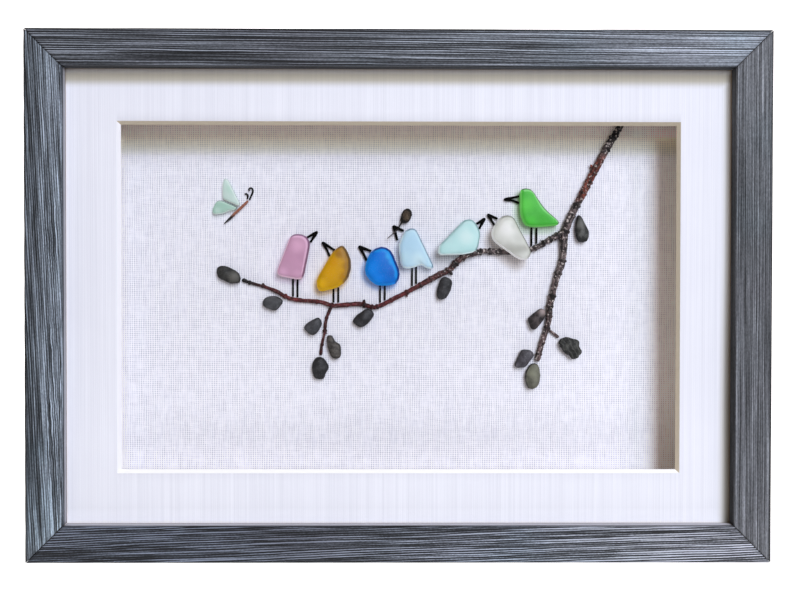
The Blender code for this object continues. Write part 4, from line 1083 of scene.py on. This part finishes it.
def sprig_material():
    m = Mat("dry_bud", roughness=0.8, specular=0.25)
    fine = m.noise(1700.0, 4.0, 0.65)
    cells = m.voronoi(1500.0)
    inner = m.attribute("inner")
    centre = m.ramp(fine, [(0.3, (45, 35, 30)), (0.55, (84, 71, 57)), (0.8, (130, 115, 96))])
    base = m.mix(m.math("MULTIPLY", inner, m.span(cells, 0.15, 0.6, 0.4, 1.0)), (23, 20, 19), centre)
    base = m.mix(m.attribute("stem"), base, m.ramp(fine, [(0.3, (54, 49, 49)), (0.7, (97, 90, 90))]))
    m.set("Base Color", base)
    m.bump(m.math("ADD", fine, m.math("MULTIPLY", cells, 1.2)), 0.7, 0.0003)
    return m.mat


_mesh = refined("sprig", 0.15, 2)
_p, _n = read_points(_mesh)
_bud = smoothstep(149.6, 151.0, _p[:, 2])
_cells = noise3(_p, 0.62, 500)
write_points(_mesh, _p + _n * (_bud * 0.32 * (_cells - 0.62))[:, None])
_d = np.hypot((_p[:, 0] - 3.5) / 2.1, (_p[:, 2] - 153.4) / 2.9)
point_attribute(_mesh, "inner", _bud * smoothstep(1.0, 0.62, _d))
point_attribute(_mesh, "stem", smoothstep(147.6, 145.6, _p[:, 2]))
new_piece("sprig_dried", _mesh, sprig_material(), "sprig")


def body_material():
    m = Mat("butterfly_twig", roughness=0.66, specular=0.3)
    fine = m.noise(1.0, 4.0, 0.6, m.mapping(scale=(1500, 1500, 1500), rotation=(0, 0.78, 0)))
    fibre = m.noise(1.0, 3.0, 0.6, m.mapping(scale=(2600, 2600, 260), rotation=(0, -0.79, 0)))
    base = m.ramp(m.math("ADD", m.math("MULTIPLY", fine, 0.4), m.math("MULTIPLY", fibre, 0.6)), [(0.3, (112, 68, 56)), (0.55, (154, 98, 78)), (0.8, (188, 132, 108))])
    base = m.mix(m.attribute("tail"), base, (24, 20, 20))
    m.set("Base Color", base)
    m.bump(fibre, 0.5, 0.0002)
    return m.mat


_mesh = refined("butterfly_body", 0.14, 3)
_p, _n = read_points(_mesh)
write_points(_mesh, _p + _n * (0.12 * (noise3(_p, 1.0, 520) - 0.5))[:, None])
point_attribute(_mesh, "tail", smoothstep(154.6, 152.4, _p[:, 2]))
new_piece("butterfly_body_twig", _mesh, body_material(), "butterfly_body")


# =============================================================== what is not seen
def set_material(node, mat):
    data = NODES[node].data
    data.materials.clear()
    data.materials.append(mat)


def spacer_material():
    m = Mat("spacer_card", roughness=0.9, specular=0.2)
    fuzz = m.noise(900.0, 3.0, 0.6)
    ply = m.noise(1.0, 2.0, 0.5, m.mapping(scale=(40, 1500, 40)))
    m.set("Base Color", m.ramp(m.math("ADD", m.math("MULTIPLY", fuzz, 0.5), m.math("MULTIPLY", ply, 0.5)), [(0.3, (226, 225, 222)), (0.7, (243, 242, 240))]))
    m.bump(fuzz, 0.3, 0.0001)
    return m.mat


def hardboard_material():
    m = Mat("hardboard", roughness=0.6, specular=0.35)
    fibre = m.noise(620.0, 5.0, 0.7, distortion=0.6)
    blotch = m.noise(26.0, 3.0, 0.5)
    v = m.math("ADD", m.math("MULTIPLY", fibre, 0.7), m.math("MULTIPLY", blotch, 0.3))
    m.set("Base Color", m.ramp(v, [(0.3, (92, 62, 40)), (0.5, (128, 92, 62)), (0.7, (158, 122, 86))]))
    m.set("Roughness", m.span(fibre, 0.3, 0.7, 0.5, 0.72))
    m.bump(fibre, 0.35, 0.00015)
    return m.mat


def zinc_material():
    m = Mat("zinc_steel", roughness=0.35, metallic=1.0)
    brush = m.noise(1.0, 3.0, 0.6, m.mapping(scale=(60, 1500, 2400)))
    spot = m.noise(340.0, 2.0, 0.5)
    m.set("Base Color", m.ramp(m.math("ADD", m.math("MULTIPLY", brush, 0.6), m.math("MULTIPLY", spot, 0.4)), [(0.3, (150, 152, 156)), (0.7, (205, 206, 208))]))
    m.set("Roughness", m.span(brush, 0.3, 0.7, 0.26, 0.46))
    m.bump(brush, 0.15, 0.00005)
    return m.mat


_spacer = spacer_material()
for _side in ("top", "bottom", "left", "right"):
    set_material("spacer_strip_" + _side, _spacer)
set_material("back_board", hardboard_material())
set_material("sawtooth_hanger", zinc_material())


# ============================================================ stage, light, camera
def stage_material(name, rgb, glow):
    m = Mat(name, roughness=0.9, specular=0.1)
    n = m.noise(6.0, 2.0, 0.5)
    m.set("Base Color", m.ramp(n, [(0.3, rgb), (0.7, tuple(min(255, c + 2) for c in rgb))]))
    if glow:
        m.set("Emission Color", (1, 1, 1, 1))
        m.set("Emission Strength", glow)
    return m.mat


FLOOR_GLOW = 0.75
KEY_POWER = 76.0
FILL = 0.275


def floor():
    """A pale sweep: flat under the picture, turning up far behind it. Behind the
    picture it is lit through from below, as a white table is."""
    width, front, seam, flat, radius, height = 4.0, -2.6, -0.052, 1.6, 0.9, 3.2
    line = [(front, 0.0), (seam, 0.0), (flat, 0.0)]
    for k in range(1, 13):
        a = math.pi / 2 * k / 12
        line.append((flat + radius * math.sin(a), radius * (1 - math.cos(a))))
    line.append((flat + radius, height))
    pts = [(x, y, z) for y, z in line for x in (-width, width)]
    faces = [(2 * k, 2 * k + 1, 2 * k + 3, 2 * k + 2) for k in range(len(line) - 1)]
    mesh = bpy.data.meshes.new("floor")
    mesh.from_pydata(pts, [], faces)
    obj = bpy.data.objects.new("floor", mesh)
    bpy.context.scene.collection.objects.link(obj)
    mesh.materials.append(stage_material("pale_floor", (188, 188, 190), 0.0))
    mesh.materials.append(stage_material("pale_table", (246, 246, 246), FLOOR_GLOW))
    mesh.polygons.foreach_set("material_index", [0] + [1] * (len(faces) - 1))
    mesh.polygons.foreach_set("use_smooth", [True] * len(faces))
    return obj


floor()

scene = bpy.context.scene
scene.view_settings.view_transform = "Standard"
scene.view_settings.look = "None"
scene.view_settings.exposure = 0.0
scene.view_settings.gamma = 1.0

world = bpy.data.worlds.new("soft_room")
scene.world = world
world.use_nodes = True
_bg = world.node_tree.nodes["Background"]
_bg.inputs["Color"].default_value = (1.0, 0.76, 0.56, 1.0)
_bg.inputs["Strength"].default_value = FILL


def area(name, centre, target, size_x, size_y, power, colour):
    light = bpy.data.lights.new(name, "AREA")
    light.shape = "RECTANGLE"
    light.size, light.size_y = size_x, size_y
    light.energy = power
    light.color = colour
    obj = bpy.data.objects.new(name, light)
    bpy.context.scene.collection.objects.link(obj)
    obj.location = centre
    obj.rotation_euler = (Vector(target) - Vector(centre)).to_track_quat("-Z", "Y").to_euler()
    obj.visible_camera = False
    return obj


CENTRE = Vector((0.0, 0.0, 0.116))
area("window_light", (0.86, -2.2, 1.42), (0.86, 0.0, 1.42), 1.25, 2.15, KEY_POWER, (0.852, 0.915, 1.03))
area("rear_fill", (-0.9, 1.3, 1.1), CENTRE, 1.2, 1.2, 6.0, (1.0, 0.97, 0.94))

# the camera stands where the photograph was taken
cam_data = bpy.data.cameras.new("camera")
cam = bpy.data.objects.new("camera", cam_data)
scene.collection.objects.link(cam)
cam_data.sensor_fit = "HORIZONTAL"
cam_data.sensor_width = 36.0
cam_data.lens = CAM_FOCAL * 36.0 / PIC_W
cam_data.clip_start = 0.01
cam_data.clip_end = 50.0
right, ahead, up = CAM_R @ Vector((1, 0, 0)), CAM_R @ Vector((0, 1, 0)), CAM_R @ Vector((0, 0, 1))
m = Matrix.Identity(4)
for _i in range(3):
    m[_i][0], m[_i][1], m[_i][2], m[_i][3] = right[_i], up[_i], -ahead[_i], CAM_AT[_i] * MM
cam.matrix_world = m
scene.camera = cam
